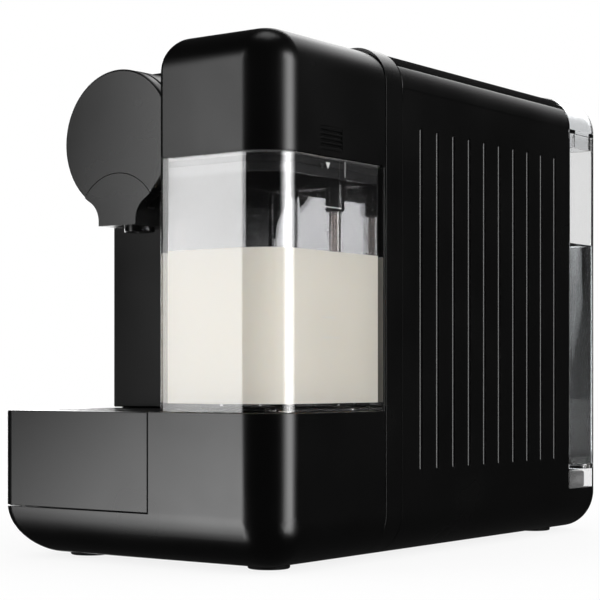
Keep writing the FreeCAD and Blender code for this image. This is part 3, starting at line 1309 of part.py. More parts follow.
def steam_valve():
    """Solenoid valve on the heater, in line with the steam nozzle of the dock."""
    half = VALVE_BLOCK / 2
    high = HEATER_TOP + VALVE_BLOCK
    body = block(X_STEAM - half, X_STEAM + half, Y_HEATER - half, Y_HEATER + half, HEATER_TOP, high)
    coil = rod(VALVE_COIL_RADIUS, (X_STEAM, Y_HEATER, high), (X_STEAM, Y_HEATER, high + VALVE_COIL_HEIGHT))
    return body.fuse(coil).removeSplitter()


def suction_hose():
    """Hose from the tank socket down and forward to the flow meter."""
    end = (WATER_X, Y_METER + METER_RADIUS + METER_BOSS, METER_Z)
    return tube([(WATER_X, Y_VALVE, SOCKET_LOW), (WATER_X, Y_VALVE, METER_Z), end],
                HOSE_RADIUS, HOSE_BORE, HOSE_BEND)


def pump_hose():
    """Hose from the flow meter forward and up into the pump."""
    start = (WATER_X, Y_METER - METER_RADIUS - METER_BOSS, METER_Z)
    return tube([start, (WATER_X, Y_PUMP, METER_Z), (WATER_X, Y_PUMP, PUMP_LOW)],
                HOSE_RADIUS, HOSE_BORE, HOSE_BEND)


def pressure_hose():
    """Hose from the pump up and forward to the heater."""
    end = (WATER_X, Y_HEATER + HEATER_DEPTH / 2, PRESSURE_Z)
    return tube([(WATER_X, Y_PUMP, PUMP_HIGH), (WATER_X, Y_PUMP, PRESSURE_Z), end],
                HOSE_RADIUS, HOSE_BORE, HOSE_BEND)


def brew_hose():
    """Hose from the heater's outlet up and left to the brew frame."""
    x = WATER_X - HEATER_OUTLET
    z = HEATER_TOP + NIPPLE + 2 * HOSE_BEND
    return tube([(x, Y_HEATER, HEATER_TOP), (x, Y_HEATER, z), (HEAD_X + FRAME_OUTER, Y_HEATER, z)],
                HOSE_RADIUS, HOSE_BORE, HOSE_BEND)


def steam_pipe():
    """Straight pipe from the steam valve to the dock's steam nozzle."""
    ends = [(X_STEAM, y, DOCK_Z) for y in (Y_DOCK_BACK, Y_HEATER - VALVE_BLOCK / 2)]
    return rod(CHANNEL_RADIUS, *ends).cut(rod(CHANNEL_BORE, *ends))


PIECES = [
    front_base, chassis_base, feet, cord_gland, ring_frame, niche_panel, right_side_panel,
    left_side_panel, shoulder_rails, top_cover, rear_bulkhead, control_panel, control_board,
    brew_housing, spout_neck, dispensing_nozzle, coffee_channel, milk_channel, milk_dock, lever_disc,
    lever_shell, lever_cams, hinge_pin, brew_frame, capsule_seat, brew_piston, piston_pin, piston_seal,
    capsule_chute, drip_drawer, capsule_bin, drip_grid, milk_tank, milk_lid, lid_insert, seal_ring,
    froth_unit, suction_tube, water_tank, tank_valve, tank_lid, tank_socket, flow_meter, pump,
    pump_mounts, thermoblock, steam_valve, suction_hose, pump_hose, pressure_hose, brew_hose,
    steam_pipe,
]


def shapes():
    """Every piece of the machine under its name."""
    named = {piece.__name__: piece() for piece in PIECES}
    for number, (x, y) in enumerate(button_places(), 1):
        named[f"drink_button_{number}"] = drink_button(x, y)
    named["release_button_right"] = release_button(X_RIGHT, -1)
    named["release_button_left"] = release_button(X_BLOCK, 1)
    return named


os.makedirs("parts", exist_ok=True)
for name, shape in shapes().items():
    shape.exportStep(f"parts/{name}.step")
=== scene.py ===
import math

import bpy
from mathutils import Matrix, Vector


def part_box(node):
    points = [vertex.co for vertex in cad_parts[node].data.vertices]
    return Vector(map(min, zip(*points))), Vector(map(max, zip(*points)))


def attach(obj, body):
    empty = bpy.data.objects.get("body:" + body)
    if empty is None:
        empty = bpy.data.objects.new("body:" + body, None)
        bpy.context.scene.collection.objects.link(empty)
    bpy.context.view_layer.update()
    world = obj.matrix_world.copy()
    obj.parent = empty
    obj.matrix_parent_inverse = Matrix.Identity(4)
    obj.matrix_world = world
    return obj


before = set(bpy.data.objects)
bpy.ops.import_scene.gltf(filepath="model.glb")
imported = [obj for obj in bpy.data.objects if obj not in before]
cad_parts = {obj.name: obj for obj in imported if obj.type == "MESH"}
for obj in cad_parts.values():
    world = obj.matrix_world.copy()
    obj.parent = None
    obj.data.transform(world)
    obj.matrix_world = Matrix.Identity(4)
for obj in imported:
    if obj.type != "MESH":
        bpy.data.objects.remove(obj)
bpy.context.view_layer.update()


# Casing: base skirts, band, side panels, shoulders, cup wall and the bulkhead before the water tank.
# Injection-moulded black ABS with a spark-eroded satin surface. The shells clip together from
# inside, so only their seams show, and every edge has the small radius that a mould leaves.

CASING = ("chassis_base", "front_base", "ring_frame", "niche_panel", "left_side_panel", "right_side_panel",
          "shoulder_rails", "rear_bulkhead")
EDGE_RADIUS = 0.0005
BAND_EDGE = 0.0009
SATIN_GRAIN = 0.0006          # the real grit is about 0.1 mm; drawn coarser so that it shows
FLOW_MARK = 0.05              # slow change of gloss across a large moulding


def linear(code):
    """A colour written as sRGB hex, as the linear values that a shader takes."""
    channels = [int(code[i:i + 2], 16) / 255 for i in (1, 3, 5)]
    return tuple(c / 12.92 if c <= 0.04045 else ((c + 0.055) / 1.055) ** 2.4 for c in channels) + (1,)


def add(material, kind, inputs=None, **settings):
    """Adds a shader node: settings are its own values, inputs fill its sockets by value or by link."""
    made = material.node_tree.nodes.new(kind)
    for name, value in settings.items():
        setattr(made, name, value)
    fill(material, made, inputs or {})
    return made


def fill(material, node, inputs):
    """Sets a node's sockets, or links them where the value is another node's output."""
    for socket, value in inputs.items():
        if isinstance(value, bpy.types.NodeSocket):
            material.node_tree.links.new(value, node.inputs[socket])
        else:
            node.inputs[socket].default_value = value


def start(name, inputs):
    """A new material with its shader, the shader's sockets filled, and the piece's own coordinates."""
    material = bpy.data.materials.new(name)
    material.use_nodes = True
    shader = material.node_tree.nodes["Principled BSDF"]
    fill(material, shader, inputs)
    place = add(material, "ShaderNodeTexCoord").outputs["Object"]
    return material, shader, place


def moulded(name, dark, light, gloss, grain, depth, spread=0.05, shine=0.5):
    """Moulded plastic: grit from the mould in the bump, and slow flow marks in colour and gloss."""
    material, shader, place = start(name, {"IOR": 1.53, "Specular IOR Level": shine})
    flow = add(material, "ShaderNodeTexNoise", {"Vector": place, "Scale": 1 / FLOW_MARK, "Detail": 3.0})
    tint = add(material, "ShaderNodeValToRGB", {"Fac": flow.outputs["Fac"]})
    tint.color_ramp.elements[0].color = linear(dark)
    tint.color_ramp.elements[1].color = linear(light)
    rough = add(material, "ShaderNodeMapRange", {"Value": flow.outputs["Fac"], "From Min": 0.3, "From Max": 0.7,
                                                 "To Min": gloss - spread / 2, "To Max": gloss + spread / 2})
    grit = add(material, "ShaderNodeTexNoise", {"Vector": place, "Scale": 1 / grain, "Detail": 2.0})
    bump = add(material, "ShaderNodeBump", {"Height": grit.outputs["Fac"], "Strength": 0.5, "Distance": depth})
    fill(material, shader, {"Base Color": tint.outputs["Color"], "Roughness": rough.outputs["Result"],
                            "Normal": bump.outputs["Normal"]})
    return material


def dress(material, *names):
    """Gives a finish to pieces of the frame."""
    for name in names:
        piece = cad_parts[name]
        for slot in piece.material_slots:
            slot.material = material


def soften(radius, *names):
    """Joins the loose triangles of pieces of the frame and rounds their sharp edges."""
    for name in names:
        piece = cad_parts[name]
        joined = piece.modifiers.new("joined", "WELD")
        joined.merge_threshold = 1e-6
        flats = piece.modifiers.new("flats", "DECIMATE")
        flats.decimate_type = "DISSOLVE"
        flats.angle_limit = math.radians(0.2)
        edge = piece.modifiers.new("edge", "BEVEL")
        edge.width = radius
        edge.segments = 2
        edge.limit_method = "ANGLE"
        edge.angle_limit = math.radians(40)
        even = piece.modifiers.new("even", "WEIGHTED_NORMAL")
        even.keep_sharp = False


satin_abs = moulded("satin_moulded_abs", "#020202", "#050505", 0.25, SATIN_GRAIN, 0.00001, shine=0.22)
dress(satin_abs, *CASING)
soften(EDGE_RADIUS, *[name for name in CASING if name != "ring_frame"])
soften(BAND_EDGE, "ring_frame")


# Feet, mains grommet, pump mounts and sealing rings.
# Moulded black rubber: nearly matt, with a faint grey bloom, pushed into pockets and grooves.

RUBBER_GRAIN = 0.0008

rubber = moulded("moulded_rubber", "#080808", "#121212", 0.72, RUBBER_GRAIN, 0.00002, shine=0.1)
dress(rubber, "feet", "cord_gland", "pump_mounts", "piston_seal", "seal_ring")


# Water system under the covers: pump, flow meter, heater, valve, hoses and the circuit board.
# Bought-in parts: nylon bodies, a die-cast aluminium heater, soft silicone hose and a coated board.

CAST_GRAIN = 0.0015
HOSE_HAZE = 0.004

nylon = moulded("black_nylon", "#141416", "#1e1e20", 0.5, SATIN_GRAIN, 0.00002)
dress(nylon, "pump", "steam_valve", "tank_socket")

acetal = moulded("white_acetal", "#dcdad3", "#e9e7e0", 0.35, SATIN_GRAIN, 0.000005)
dress(acetal, "flow_meter", "coffee_channel", "brew_frame", "capsule_seat", "brew_piston", "tank_valve")

cast, shader, place = start("die_cast_aluminium", {"Metallic": 1.0})
skin = add(cast, "ShaderNodeTexNoise", {"Vector": place, "Scale": 1 / CAST_GRAIN, "Detail": 5.0})
tint = add(cast, "ShaderNodeValToRGB", {"Fac": skin.outputs["Fac"]})
tint.color_ramp.elements[0].color = linear("#8d8f90")
tint.color_ramp.elements[1].color = linear("#bcbec0")
rough = add(cast, "ShaderNodeMapRange", {"Value": skin.outputs["Fac"], "To Min": 0.35, "To Max": 0.6})
bump = add(cast, "ShaderNodeBump", {"Height": skin.outputs["Fac"], "Strength": 0.6, "Distance": 0.00005})
fill(cast, shader, {"Base Color": tint.outputs["Color"], "Roughness": rough.outputs["Result"],
                    "Normal": bump.outputs["Normal"]})
dress(cast, "thermoblock")

silicone, shader, place = start("extruded_silicone", {"IOR": 1.41, "Subsurface Weight": 0.3,
                                                      "Subsurface Scale": 0.002})
haze = add(silicone, "ShaderNodeTexNoise", {"Vector": place, "Scale": 1 / HOSE_HAZE, "Detail": 2.0})
tint = add(silicone, "ShaderNodeValToRGB", {"Fac": haze.outputs["Fac"]})
tint.color_ramp.elements[0].color = linear("#b9b9b4")
tint.color_ramp.elements[1].color = linear("#d2d2cd")
rough = add(silicone, "ShaderNodeMapRange", {"Value": haze.outputs["Fac"], "To Min": 0.25, "To Max": 0.42})
fill(silicone, shader, {"Base Color": tint.outputs["Color"], "Roughness": rough.outputs["Result"]})
dress(silicone, "suction_hose", "pump_hose", "pressure_hose", "brew_hose", "milk_channel", "steam_pipe")

TRACK_PITCH = 0.004

board, shader, place = start("coated_circuit_board", {"IOR": 1.5, "Roughness": 0.3})
tracks = add(board, "ShaderNodeTexBrick", {"Vector": place, "Scale": 1 / TRACK_PITCH, "Mortar Size": 0.08,
                                           "Color1": linear("#0d3a22"), "Color2": linear("#0f4428"),
                                           "Mortar": linear("#2c6a3c")})
fill(board, shader, {"Base Color": tracks.outputs["Color"]})
dress(board, "control_board")


# Brewing mechanism: cam plates, hinge pin and cross pin.
# Stamped and ground stainless steel, with fine scratches along the plates.

SCRATCH = 0.0004

steel, shader, place = start("ground_steel", {"Metallic": 1.0, "Base Color": linear("#b5b6b8")})
stretch = add(steel, "ShaderNodeMapping", {"Vector": place, "Scale": (1.0, 0.06, 1.0)})
lines = add(steel, "ShaderNodeTexNoise", {"Vector": stretch.outputs["Vector"], "Scale": 1 / SCRATCH, "Detail": 3.0})
rough = add(steel, "ShaderNodeMapRange", {"Value": lines.outputs["Fac"], "To Min": 0.2, "To Max": 0.45})
bump = add(steel, "ShaderNodeBump", {"Height": lines.outputs["Fac"], "Strength": 0.3, "Distance": 0.00001})
fill(steel, shader, {"Roughness": rough.outputs["Result"], "Normal": bump.outputs["Normal"]})
dress(steel, "lever_cams", "hinge_pin", "piston_pin")


# Brew head: round disc and spout at the front, drum and arm of the lever behind, nozzle below.
# The same black ABS in a slightly duller texture; the disc snaps onto the drum.

head_abs = moulded("textured_moulded_abs", "#040404", "#070707", 0.26, SATIN_GRAIN, 0.000012, shine=0.44)
dress(head_abs, "lever_disc", "spout_neck", "lever_shell")
dress(satin_abs, "brew_housing", "dispensing_nozzle", "capsule_chute")
soften(EDGE_RADIUS, "lever_disc", "spout_neck", "lever_shell", "brew_housing", "dispensing_nozzle")


# Drip drawer, its grid and the capsule bin.
# Moulded black ABS, lifted and slid out for washing.

dress(satin_abs, "drip_drawer", "drip_grid", "capsule_bin")
soften(EDGE_RADIUS, "drip_drawer", "drip_grid", "capsule_bin")


# Milk container: a thick clear box moulded in SAN, which gives glass-like walls with bright edges.
# The lid, its insert, the ribbed release buttons and the frother are black ABS.

CLEAR_HAZE = 0.02
INSERT_EDGE = 0.0002


def clear(name, tint, gloss):
    """Clear moulded plastic. Shadow rays pass, so that what stands inside is lit through the wall."""
    material, shader, place = start(name, {"Base Color": linear(tint), "IOR": 1.57, "Transmission Weight": 1.0})
    haze = add(material, "ShaderNodeTexNoise", {"Vector": place, "Scale": 1 / CLEAR_HAZE, "Detail": 2.0})
    rough = add(material, "ShaderNodeMapRange", {"Value": haze.outputs["Fac"], "To Min": 0.0, "To Max": gloss})
    fill(material, shader, {"Roughness": rough.outputs["Result"]})
    pass_light = add(material, "ShaderNodeBsdfTransparent", {"Color": linear("#f2f2f2")})
    ray = add(material, "ShaderNodeLightPath")
    mixed = add(material, "ShaderNodeMixShader", {0: ray.outputs["Is Shadow Ray"], 1: shader.outputs["BSDF"],
                                                  2: pass_light.outputs["BSDF"]})
    fill(material, material.node_tree.nodes["Material Output"], {"Surface": mixed.outputs["Shader"]})
    return material


clear_san = clear("clear_moulded_san", "#fbfbfc", 0.02)
dress(clear_san, "milk_tank")
dress(satin_abs, "milk_lid", "lid_insert", "release_button_right", "release_button_left")
dress(head_abs, "froth_unit", "milk_dock")
smoked_san = clear("smoked_moulded_san", "#cfc8c5", 0.05)
dress(smoked_san, "suction_tube")
soften(EDGE_RADIUS, "milk_lid", "release_button_right", "release_button_left")
soften(INSERT_EDGE, "lid_insert")
soften(EDGE_RADIUS, "milk_tank")


# Milk in the container, filled to a little over half.
# Cold milk: warm white, scattering light inside, drawn up in a thin rim where it wets the wall.

MILK_LEVEL = 0.1556
WETTING = 0.0001              # milk drawn this far into the wall, so that no air shows between
MENISCUS = 0.0012


def contents(name, vessel, low, high, level):
    """What stands in a vessel: its inner walls between two corners, cut off at a level and closed."""
    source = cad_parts[vessel]
    piece = bpy.data.objects.new(name, source.data.copy())
    bpy.context.collection.objects.link(piece)
    bpy.ops.object.select_all(action="DESELECT")
    piece.select_set(True)
    bpy.context.view_layer.objects.active = piece
    bpy.ops.object.mode_set(mode="EDIT")
    bpy.ops.mesh.select_all(action="SELECT")
    bpy.ops.mesh.customdata_custom_splitnormals_clear()
    bpy.ops.mesh.remove_doubles(threshold=1e-6)
    bpy.ops.mesh.select_mode(type="FACE")
    bpy.ops.mesh.select_all(action="DESELECT")
    bpy.ops.object.mode_set(mode="OBJECT")
    slack = 1e-5
    for face in piece.data.polygons:
        corners = [piece.data.vertices[i].co for i in face.vertices]
        face.select = not all(low[k] - slack <= c[k] <= high[k] + slack for c in corners for k in range(3))
    bpy.ops.object.mode_set(mode="EDIT")
    bpy.ops.mesh.delete(type="FACE")
    bpy.ops.mesh.select_all(action="SELECT")
    bpy.ops.mesh.bisect(plane_co=(0, 0, level), plane_no=(0, 0, 1), clear_outer=True)
    bpy.ops.mesh.select_all(action="SELECT")
    bpy.ops.mesh.fill_holes(sides=0)
    bpy.ops.mesh.select_all(action="SELECT")
    bpy.ops.mesh.normals_make_consistent(inside=False)
    bpy.ops.transform.shrink_fatten(value=WETTING)
    bpy.ops.mesh.select_all(action="DESELECT")
    bpy.ops.object.mode_set(mode="OBJECT")
    for face in piece.data.polygons:
        face.select = face.normal.z > 0.9 and face.center.z > level - MENISCUS
    bpy.ops.object.mode_set(mode="EDIT")
    bpy.ops.mesh.inset(thickness=MENISCUS, depth=0)
    bpy.ops.transform.translate(value=(0, 0, -MENISCUS / 2))
    bpy.ops.object.mode_set(mode="OBJECT")
    bpy.ops.object.shade_smooth_by_angle(angle=math.radians(50))
    piece.data.materials.clear()
    return piece


def inside(vessel, wall, floor):
    """Lowest and highest corner of a vessel's hollow."""
    low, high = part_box(vessel)
    return (low.x + wall, low.y + wall, floor), (high.x - wall, high.y - wall, high.z)


MILK_WALL = 0.004
MILK_FLOOR = 0.0814
CREAM = 0.03

milk = contents("milk", "milk_tank", *inside("milk_tank", MILK_WALL, MILK_FLOOR), MILK_LEVEL)
milk_white, shader, place = start("whole_milk", {"IOR": 1.35, "Roughness": 0.25, "Subsurface Weight": 0.25,
                                                 "Subsurface Radius": (1.0, 0.8, 0.6), "Subsurface Scale": 0.003})
cream = add(milk_white, "ShaderNodeTexNoise", {"Vector": place, "Scale": 1 / CREAM, "Detail": 1.0})
tint = add(milk_white, "ShaderNodeValToRGB", {"Fac": cream.outputs["Fac"]})
tint.color_ramp.elements[0].color = linear("#f0ebdf")
tint.color_ramp.elements[1].color = linear("#f5f0e5")
fill(milk_white, shader, {"Base Color": tint.outputs["Color"]})
milk.data.materials.append(milk_white)
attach(milk, "milk_container")


# Lip of the dock beside the milk container's floor, which guides the container in.
# Black ABS like the casing, clipped to the base.

LIP = ((0.0164, -0.150, 0.0769), (0.0181, -0.0716, 0.0824))
LIP_EDGE = 0.0004


def block(name, low, high, edge):
    """A block between two corners, with rounded edges."""
    bpy.ops.object.select_all(action="DESELECT")
    bpy.ops.mesh.primitive_cube_add(size=1)
    piece = bpy.context.object
    piece.name = name
    bpy.ops.object.mode_set(mode="EDIT")
    bpy.ops.mesh.select_all(action="SELECT")
    bpy.ops.transform.resize(value=[b - a for a, b in zip(low, high)])
    bpy.ops.transform.translate(value=[(a + b) / 2 for a, b in zip(low, high)])
    bpy.ops.mesh.select_all(action="SELECT")
    bpy.ops.mesh.bevel(offset=edge, segments=2, affect="EDGES")
    bpy.ops.object.mode_set(mode="OBJECT")
    bpy.ops.object.shade_smooth_by_angle(angle=math.radians(40))
    return piece


def fit(piece, material, body):
    """Finishes a new piece and fixes it to a body."""
    piece.data.materials.append(material)
    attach(piece, body)


guide_lip = block("guide_lip", *LIP, LIP_EDGE)
fit(guide_lip, satin_abs, "machine")


# Marks on the milk container's right side: level lines, and a line and an arrow for the lid.
# White ink, printed under a clear coat just below the wall's surface.

INK_DEPTH = (0.08993, 0.08997)
INK_LINES = (((-0.1278, 0.1767), (-0.1110, 0.1771)), ((-0.1278, 0.1230), (-0.1158, 0.1234)),
             ((-0.1278, 0.1132), (-0.1110, 0.1136)), ((-0.1079, 0.1925), (-0.1075, 0.2000)))
ARROW = (-0.1223, 0.1974)
ARROW_SIZE = 0.0022
INK_EDGE = 0.00001
INK_GRAIN = 0.0008

ink = moulded("white_pad_ink", "#e4e4e2", "#f1f1ef", 0.5, INK_GRAIN, 0.000002)
bpy.ops.object.select_all(action="DESELECT")
bpy.ops.mesh.primitive_cylinder_add(vertices=3, radius=ARROW_SIZE, depth=INK_DEPTH[1] - INK_DEPTH[0])
marks = bpy.context.object
marks.name = "level_marks"
bpy.ops.object.mode_set(mode="EDIT")
bpy.ops.mesh.select_all(action="SELECT")
bpy.ops.transform.rotate(value=math.radians(90), orient_axis="X", center_override=(0, 0, 0))
bpy.ops.transform.rotate(value=math.radians(90), orient_axis="Z", center_override=(0, 0, 0))
bpy.ops.transform.translate(value=(sum(INK_DEPTH) / 2, *ARROW))
bpy.ops.object.mode_set(mode="OBJECT")
lines = [block("level_line", (INK_DEPTH[0], *low), (INK_DEPTH[1], *high), INK_EDGE) for low, high in INK_LINES]
bpy.ops.object.select_all(action="DESELECT")
for line in lines:
    line.select_set(True)
marks.select_set(True)
bpy.context.view_layer.objects.active = marks
bpy.ops.object.join()
fit(marks, ink, "milk_container")


# Water tank at the back with its hinged lid.
# Clear SAN again, thinner; the tank lifts off its pedestal and the lid swings on two pins. The
# pedestal's two wings are black ABS, screwed to the deck under the tank.

clear_tank = clear("clear_tank_san", "#fefefe", 0.02)
dress(clear_tank, "water_tank")
# The lid's SAN is tinted greyer than the tank's: painted shade, standing in for the grey that falls on its curved
# top.
clear_lid_painted_shade = clear("clear_lid_san", "#eff0f1", 0.03)
dress(clear_lid_painted_shade, "tank_lid")

TANK_WALL = 0.0028
TANK_FLOOR = 0.041
WATER_LEVEL = 0.1752
RIPPLE = 0.02

water = contents("water", "water_tank", *inside("water_tank", TANK_WALL, TANK_FLOOR), WATER_LEVEL)
# The water's grey tint is painted shade: clear water drawn darker, as it looks with the dark parts around it seen
# through it.
water_painted_shade, shader, place = start("water_painted_shade", {"Base Color": linear("#b4b7b9"), "IOR": 1.33, "Roughness": 0.0,
                                                   "Transmission Weight": 1.0})
ripple = add(water_painted_shade, "ShaderNodeTexNoise", {"Vector": place, "Scale": 1 / RIPPLE, "Detail": 1.0})
bump = add(water_painted_shade, "ShaderNodeBump", {"Height": ripple.outputs["Fac"], "Strength": 0.1, "Distance": 0.0002})
fill(water_painted_shade, shader, {"Normal": bump.outputs["Normal"]})
water.data.materials.append(water_painted_shade)
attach(water, "water_tank")

WING = ((0.0605, 0.1352, 0.0267), (0.0835, 0.1598, 0.0366))
WING_EDGE = 0.0015


def copied(piece, name, shift):
    """A copy of a piece with a mesh of its own, moved by a shift."""
    bpy.ops.object.select_all(action="DESELECT")
    piece.select_set(True)
    bpy.context.view_layer.objects.active = piece
    bpy.ops.object.duplicate()
    copy = bpy.context.object
    copy.name = name
    bpy.ops.object.mode_set(mode="EDIT")
    bpy.ops.mesh.select_all(action="SELECT")
    bpy.ops.transform.translate(value=shift)
    bpy.ops.object.mode_set(mode="OBJECT")
    return copy


right_wing = block("pedestal_wing_right", *WING, WING_EDGE)
left_wing = copied(right_wing, "pedestal_wing_left", (-WING[0][0] - WING[1][0], 0, 0))
for wing in (right_wing, left_wing):
    fit(wing, satin_abs, "machine")


# Top cover and the inlay with the drink buttons.
# Polished black ABS, nearly a mirror, with a slight waviness; the buttons are matt dark grey.

WAVE = 0.015

gloss_abs = moulded("polished_moulded_abs", "#050505", "#080808", 0.1, WAVE, 0.00001, 0.03)
dress(gloss_abs, "top_cover", "control_panel")
soften(EDGE_RADIUS, "top_cover")

grey_abs = moulded("grey_moulded_abs", "#28282a", "#2f2f31", 0.5, SATIN_GRAIN, 0.00001)
dress(grey_abs, *[f"drink_button_{i}" for i in range(1, 7)])


# Marks on the inlay: a small cup and a light before each drink button.
# The cups are printed in the white ink; the lights are frosted acrylic guides, pushed in from below.

CUP = 0.0028                  # width at the rim
CUP_FOOT = 0.65               # width at the foot, as a share of the rim's
PRINT = 0.00005
LIGHT_RADIUS = 0.0006
COLLAR = 0.00075              # hidden collar round a button
MARK_GAP = 0.0025             # mark's middle to the button
FROST = 0.0003

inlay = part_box("control_panel")[1].z
cup = block("cup_mark", (-CUP / 2, -CUP / 3, 0), (CUP / 2, CUP / 3, PRINT), INK_EDGE)
for corner in cup.data.vertices:
    corner.select = corner.co.y < 0
bpy.ops.object.mode_set(mode="EDIT")
bpy.ops.mesh.select_mode(type="VERT")
bpy.ops.transform.resize(value=(CUP_FOOT, 1, 1))
bpy.ops.object.mode_set(mode="OBJECT")
bpy.ops.object.select_all(action="DESELECT")
bpy.ops.mesh.primitive_torus_add(major_radius=CUP / 5, minor_radius=CUP / 16, major_segments=24, minor_segments=8)
handle = bpy.context.object
bpy.ops.object.mode_set(mode="EDIT")
bpy.ops.mesh.select_all(action="SELECT")
bpy.ops.transform.resize(value=(1, 1, PRINT / (CUP / 8)))
bpy.ops.transform.translate(value=(CUP * 0.58, CUP / 20, PRINT / 2))
bpy.ops.object.mode_set(mode="OBJECT")
cup.select_set(True)
bpy.context.view_layer.objects.active = cup
bpy.ops.object.join()
bpy.ops.object.select_all(action="DESELECT")
bpy.ops.mesh.primitive_uv_sphere_add(segments=20, ring_count=10, radius=LIGHT_RADIUS)
guide = bpy.context.object
guide.name = "button_light"
bpy.ops.object.mode_set(mode="EDIT")
bpy.ops.mesh.select_all(action="SELECT")
bpy.ops.transform.resize(value=(1, 1, 0.5))
bpy.ops.object.mode_set(mode="OBJECT")
bpy.ops.object.shade_smooth()

frosted = moulded("frosted_acrylic", "#d3d6d8", "#e3e5e6", 0.4, FROST, 0.000004)
for i in range(1, 7):
    low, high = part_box(f"drink_button_{i}")
    middle = (low.x + high.x) / 2
    front = low.y + COLLAR - MARK_GAP
    mark = copied(cup, f"drink_mark_{i}", (middle, front, inlay))
    fit(mark, ink, "machine")
    light = copied(guide, f"button_light_{i}", (middle + CUP * 1.6, front, inlay))
    fit(light, frosted, "machine")
bpy.ops.object.select_all(action="DESELECT")
cup.select_set(True)
guide.select_set(True)
bpy.ops.object.delete()


# Set: a pale floor, a white surround and soft lamps.
# The lamps stand where the highlights on the machine put them: a softbox and a bounce card at the
# front left, a strip at the right, a panel behind, and weaker ones for the other sides.

scene = bpy.context.scene
scene.view_settings.view_transform = "Standard"

FLOOR_SIZE = 12.0
SHADOW_REACH = 0.45           # the shadow fades out into white this far beyond the machine


def after(material, kind):
    """1 where the light path has already bounced in a way, such as Diffuse or Glossy, and 0 before that."""
    ray = add(material, "ShaderNodeLightPath")
    past = add(material, "ShaderNodeMath", {0: ray.outputs[f"{kind} Depth"], 1: 0.5}, operation="GREATER_THAN")
    return past.outputs["Value"]


def either(material, choice, no, yes):
    """Picks one of two values, or a mix of them."""
    return add(material, "ShaderNodeMix", {0: choice, 2: no, 3: yes}, data_type="FLOAT").outputs["Result"]


bpy.ops.object.select_all(action="DESELECT")
bpy.ops.mesh.primitive_plane_add(size=FLOOR_SIZE)
floor = bpy.context.object
floor.name = "floor"
floor.visible_glossy = False
paper, shader, place = start("floor_paper", {"Base Color": linear("#e0e0e0"), "Roughness": 0.9,
                                             "Specular IOR Level": 0.0})
glow = add(paper, "ShaderNodeEmission", {"Color": (1, 1, 1, 1), "Strength": 1.0})
away = add(paper, "ShaderNodeVectorMath", {0: place}, operation="LENGTH")
fade = add(paper, "ShaderNodeMapRange", {"Value": away.outputs["Value"], "From Min": 0.15, "From Max": SHADOW_REACH,
                                         "To Min": 0.85, "To Max": 1.0})
share = either(paper, after(paper, "Glossy"), fade.outputs["Result"], 0.0)
share = either(paper, after(paper, "Diffuse"), share, 0.0)
mixed = add(paper, "ShaderNodeMixShader", {0: share, 1: shader.outputs["BSDF"],
                                           2: glow.outputs["Emission"]})
fill(paper, paper.node_tree.nodes["Material Output"], {"Surface": mixed.outputs["Shader"]})
floor.data.materials.append(paper)

world = bpy.data.worlds.new("studio")
world.use_nodes = True
scene.world = world
backdrop = world.node_tree.nodes["Background"]
ray = add(world, "ShaderNodeLightPath")
mirrored = add(world, "ShaderNodeMapRange", {"Value": ray.outputs["Transmission Depth"], "From Min": 2.5,
                                             "From Max": 5.5, "To Min": 0.03, "To Max": 0.7})
seen = either(world, after(world, "Glossy"), 1.0, mirrored.outputs["Result"])
fill(world, backdrop, {"Color": (1, 1, 1, 1), "Strength": either(world, after(world, "Diffuse"), seen, 1.35)})


def lamp(name, azimuth, sides, heights, fades, radiance, distance=1.2, lean=0):
    """A panel that makes highlights, upright or leaning over. Its azimuth goes from the front towards the
    right, sides and heights are its ends, and fades tell how far it dims inside its four edges."""
    turn = math.radians(azimuth)
    middle = sum(sides) / 2
    light = bpy.data.lights.new(name, "AREA")
    light.shape = "RECTANGLE"
    light.size = sides[1] - sides[0]
    light.size_y = heights[1] - heights[0]
    light.energy = radiance * math.pi * light.size * light.size_y
    light.use_nodes = True
    across = add(light, "ShaderNodeNewGeometry").outputs["Parametric"]
    places = add(light, "ShaderNodeSeparateXYZ", {0: across})
    strength = either(light, after(light, "Diffuse"), 1.0, 0.0)
    edges = (("X", 0, light.size), ("X", 1, light.size), ("Y", 0, light.size_y), ("Y", 1, light.size_y))
    for (axis, end, length), fade in zip(edges, fades):
        inner = abs(end - fade / length)
        dim = add(light, "ShaderNodeMapRange", {"Value": places.outputs[axis], "From Min": end, "From Max": inner},
                  interpolation_type="SMOOTHSTEP")
        both = add(light, "ShaderNodeMath", {0: strength, 1: dim.outputs["Result"]}, operation="MULTIPLY")
        strength = both.outputs["Value"]
    fill(light, light.node_tree.nodes["Emission"], {"Strength": strength})
    panel = bpy.data.objects.new(name, light)
    panel.location = (distance * math.sin(turn) + middle * math.cos(turn),
                      middle * math.sin(turn) - distance * math.cos(turn), sum(heights) / 2)
    panel.rotation_euler = (math.radians(90 - lean), 0, turn)
    panel.visible_camera = False
    panel.visible_diffuse = False
    bpy.context.collection.objects.link(panel)
    return panel


def spare(panel, kind, *pieces):
    """Keeps a panel from showing on pieces (receiver), or pieces from standing in its way (blocker)."""
    group = bpy.data.collections.new(f"{panel.name}_{kind}")
    setattr(panel.light_linking, f"{kind}_collection", group)
    for piece in pieces:
        group.objects.link(piece)
    for member in group.collection_objects:
        member.light_linking.link_state = "EXCLUDE"


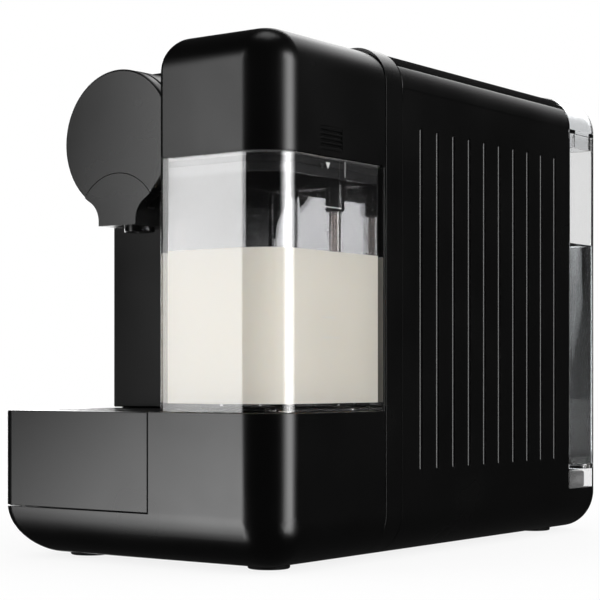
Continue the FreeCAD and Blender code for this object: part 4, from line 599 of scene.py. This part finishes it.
lamp("front_softbox", -31, (-0.13, 0.20), (-0.60, 1.10), (0.08, 0.18, 0.3, 0.5), 6.4)
floor_bounce = lamp("floor_bounce", -31, (-0.42, 0.22), (-1.20, 0.18), (0.4, 0.18, 0.4, 0.3), 9.0)
lamp("right_strip", 96.5, (-0.50, 0.50), (-0.80, 1.10), (0.5, 0.5, 0.3, 0.4), 13.5)
back_panel = lamp("back_panel", 190, (-0.80, 0.80), (0.40, 1.50), (0.6, 0.5, 0.3, 0.4), 2.4)
lamp("left_strip", -118, (-0.30, 0.30), (-0.40, 0.90), (0.2, 0.2, 0.3, 0.3), 4.0)
lamp("rear_softbox", 235, (-0.22, 0.22), (-0.40, 0.90), (0.15, 0.15, 0.3, 0.3), 4.0)
lamp("overhead", 0, (-0.45, 0.45), (1.05, 1.95), (0.3, 0.3, 0.3, 0.3), 2.2, 0.0, 90)

SHIELDED = ("left_side_panel", "milk_tank", "water_tank", "ring_frame", "niche_panel")

spare(back_panel, "receiver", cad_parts["top_cover"])
spare(floor_bounce, "receiver", milk, guide_lip, *[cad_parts[name] for name in SHIELDED])
spare(floor_bounce, "blocker", floor)

CARD_SIZE = (0.7, 1.2)        # large card that lights the right side evenly, without a highlight
CARD_PLACE = (1.19, 0.15, 0.35)
CARD_AZIMUTH = 97
CARD_RADIANCE = 2.7

card = bpy.data.lights.new("right_card", "AREA")
card.shape = "RECTANGLE"
card.size, card.size_y = CARD_SIZE
card.energy = CARD_RADIANCE * math.pi * card.size * card.size_y
holder = bpy.data.objects.new("right_card", card)
holder.location = CARD_PLACE
holder.rotation_euler = (math.radians(90), 0, math.radians(CARD_AZIMUTH))
holder.visible_camera = False
holder.visible_glossy = False
holder.visible_transmission = False
bpy.context.collection.objects.link(holder)

EYE = (0.5804, -0.8179, 0.0940)
EYE_AZIMUTH = 36.10           # level camera; the picture is shifted up instead of tilting

camera = bpy.data.objects.new("camera", bpy.data.cameras.new("camera"))
camera.data.lens = 105.07
camera.data.sensor_width = 36.0
camera.data.shift_y = 0.129
camera.location = EYE
camera.rotation_euler = (math.radians(90), 0, math.radians(EYE_AZIMUTH))
bpy.context.collection.objects.link(camera)
scene.camera = camera
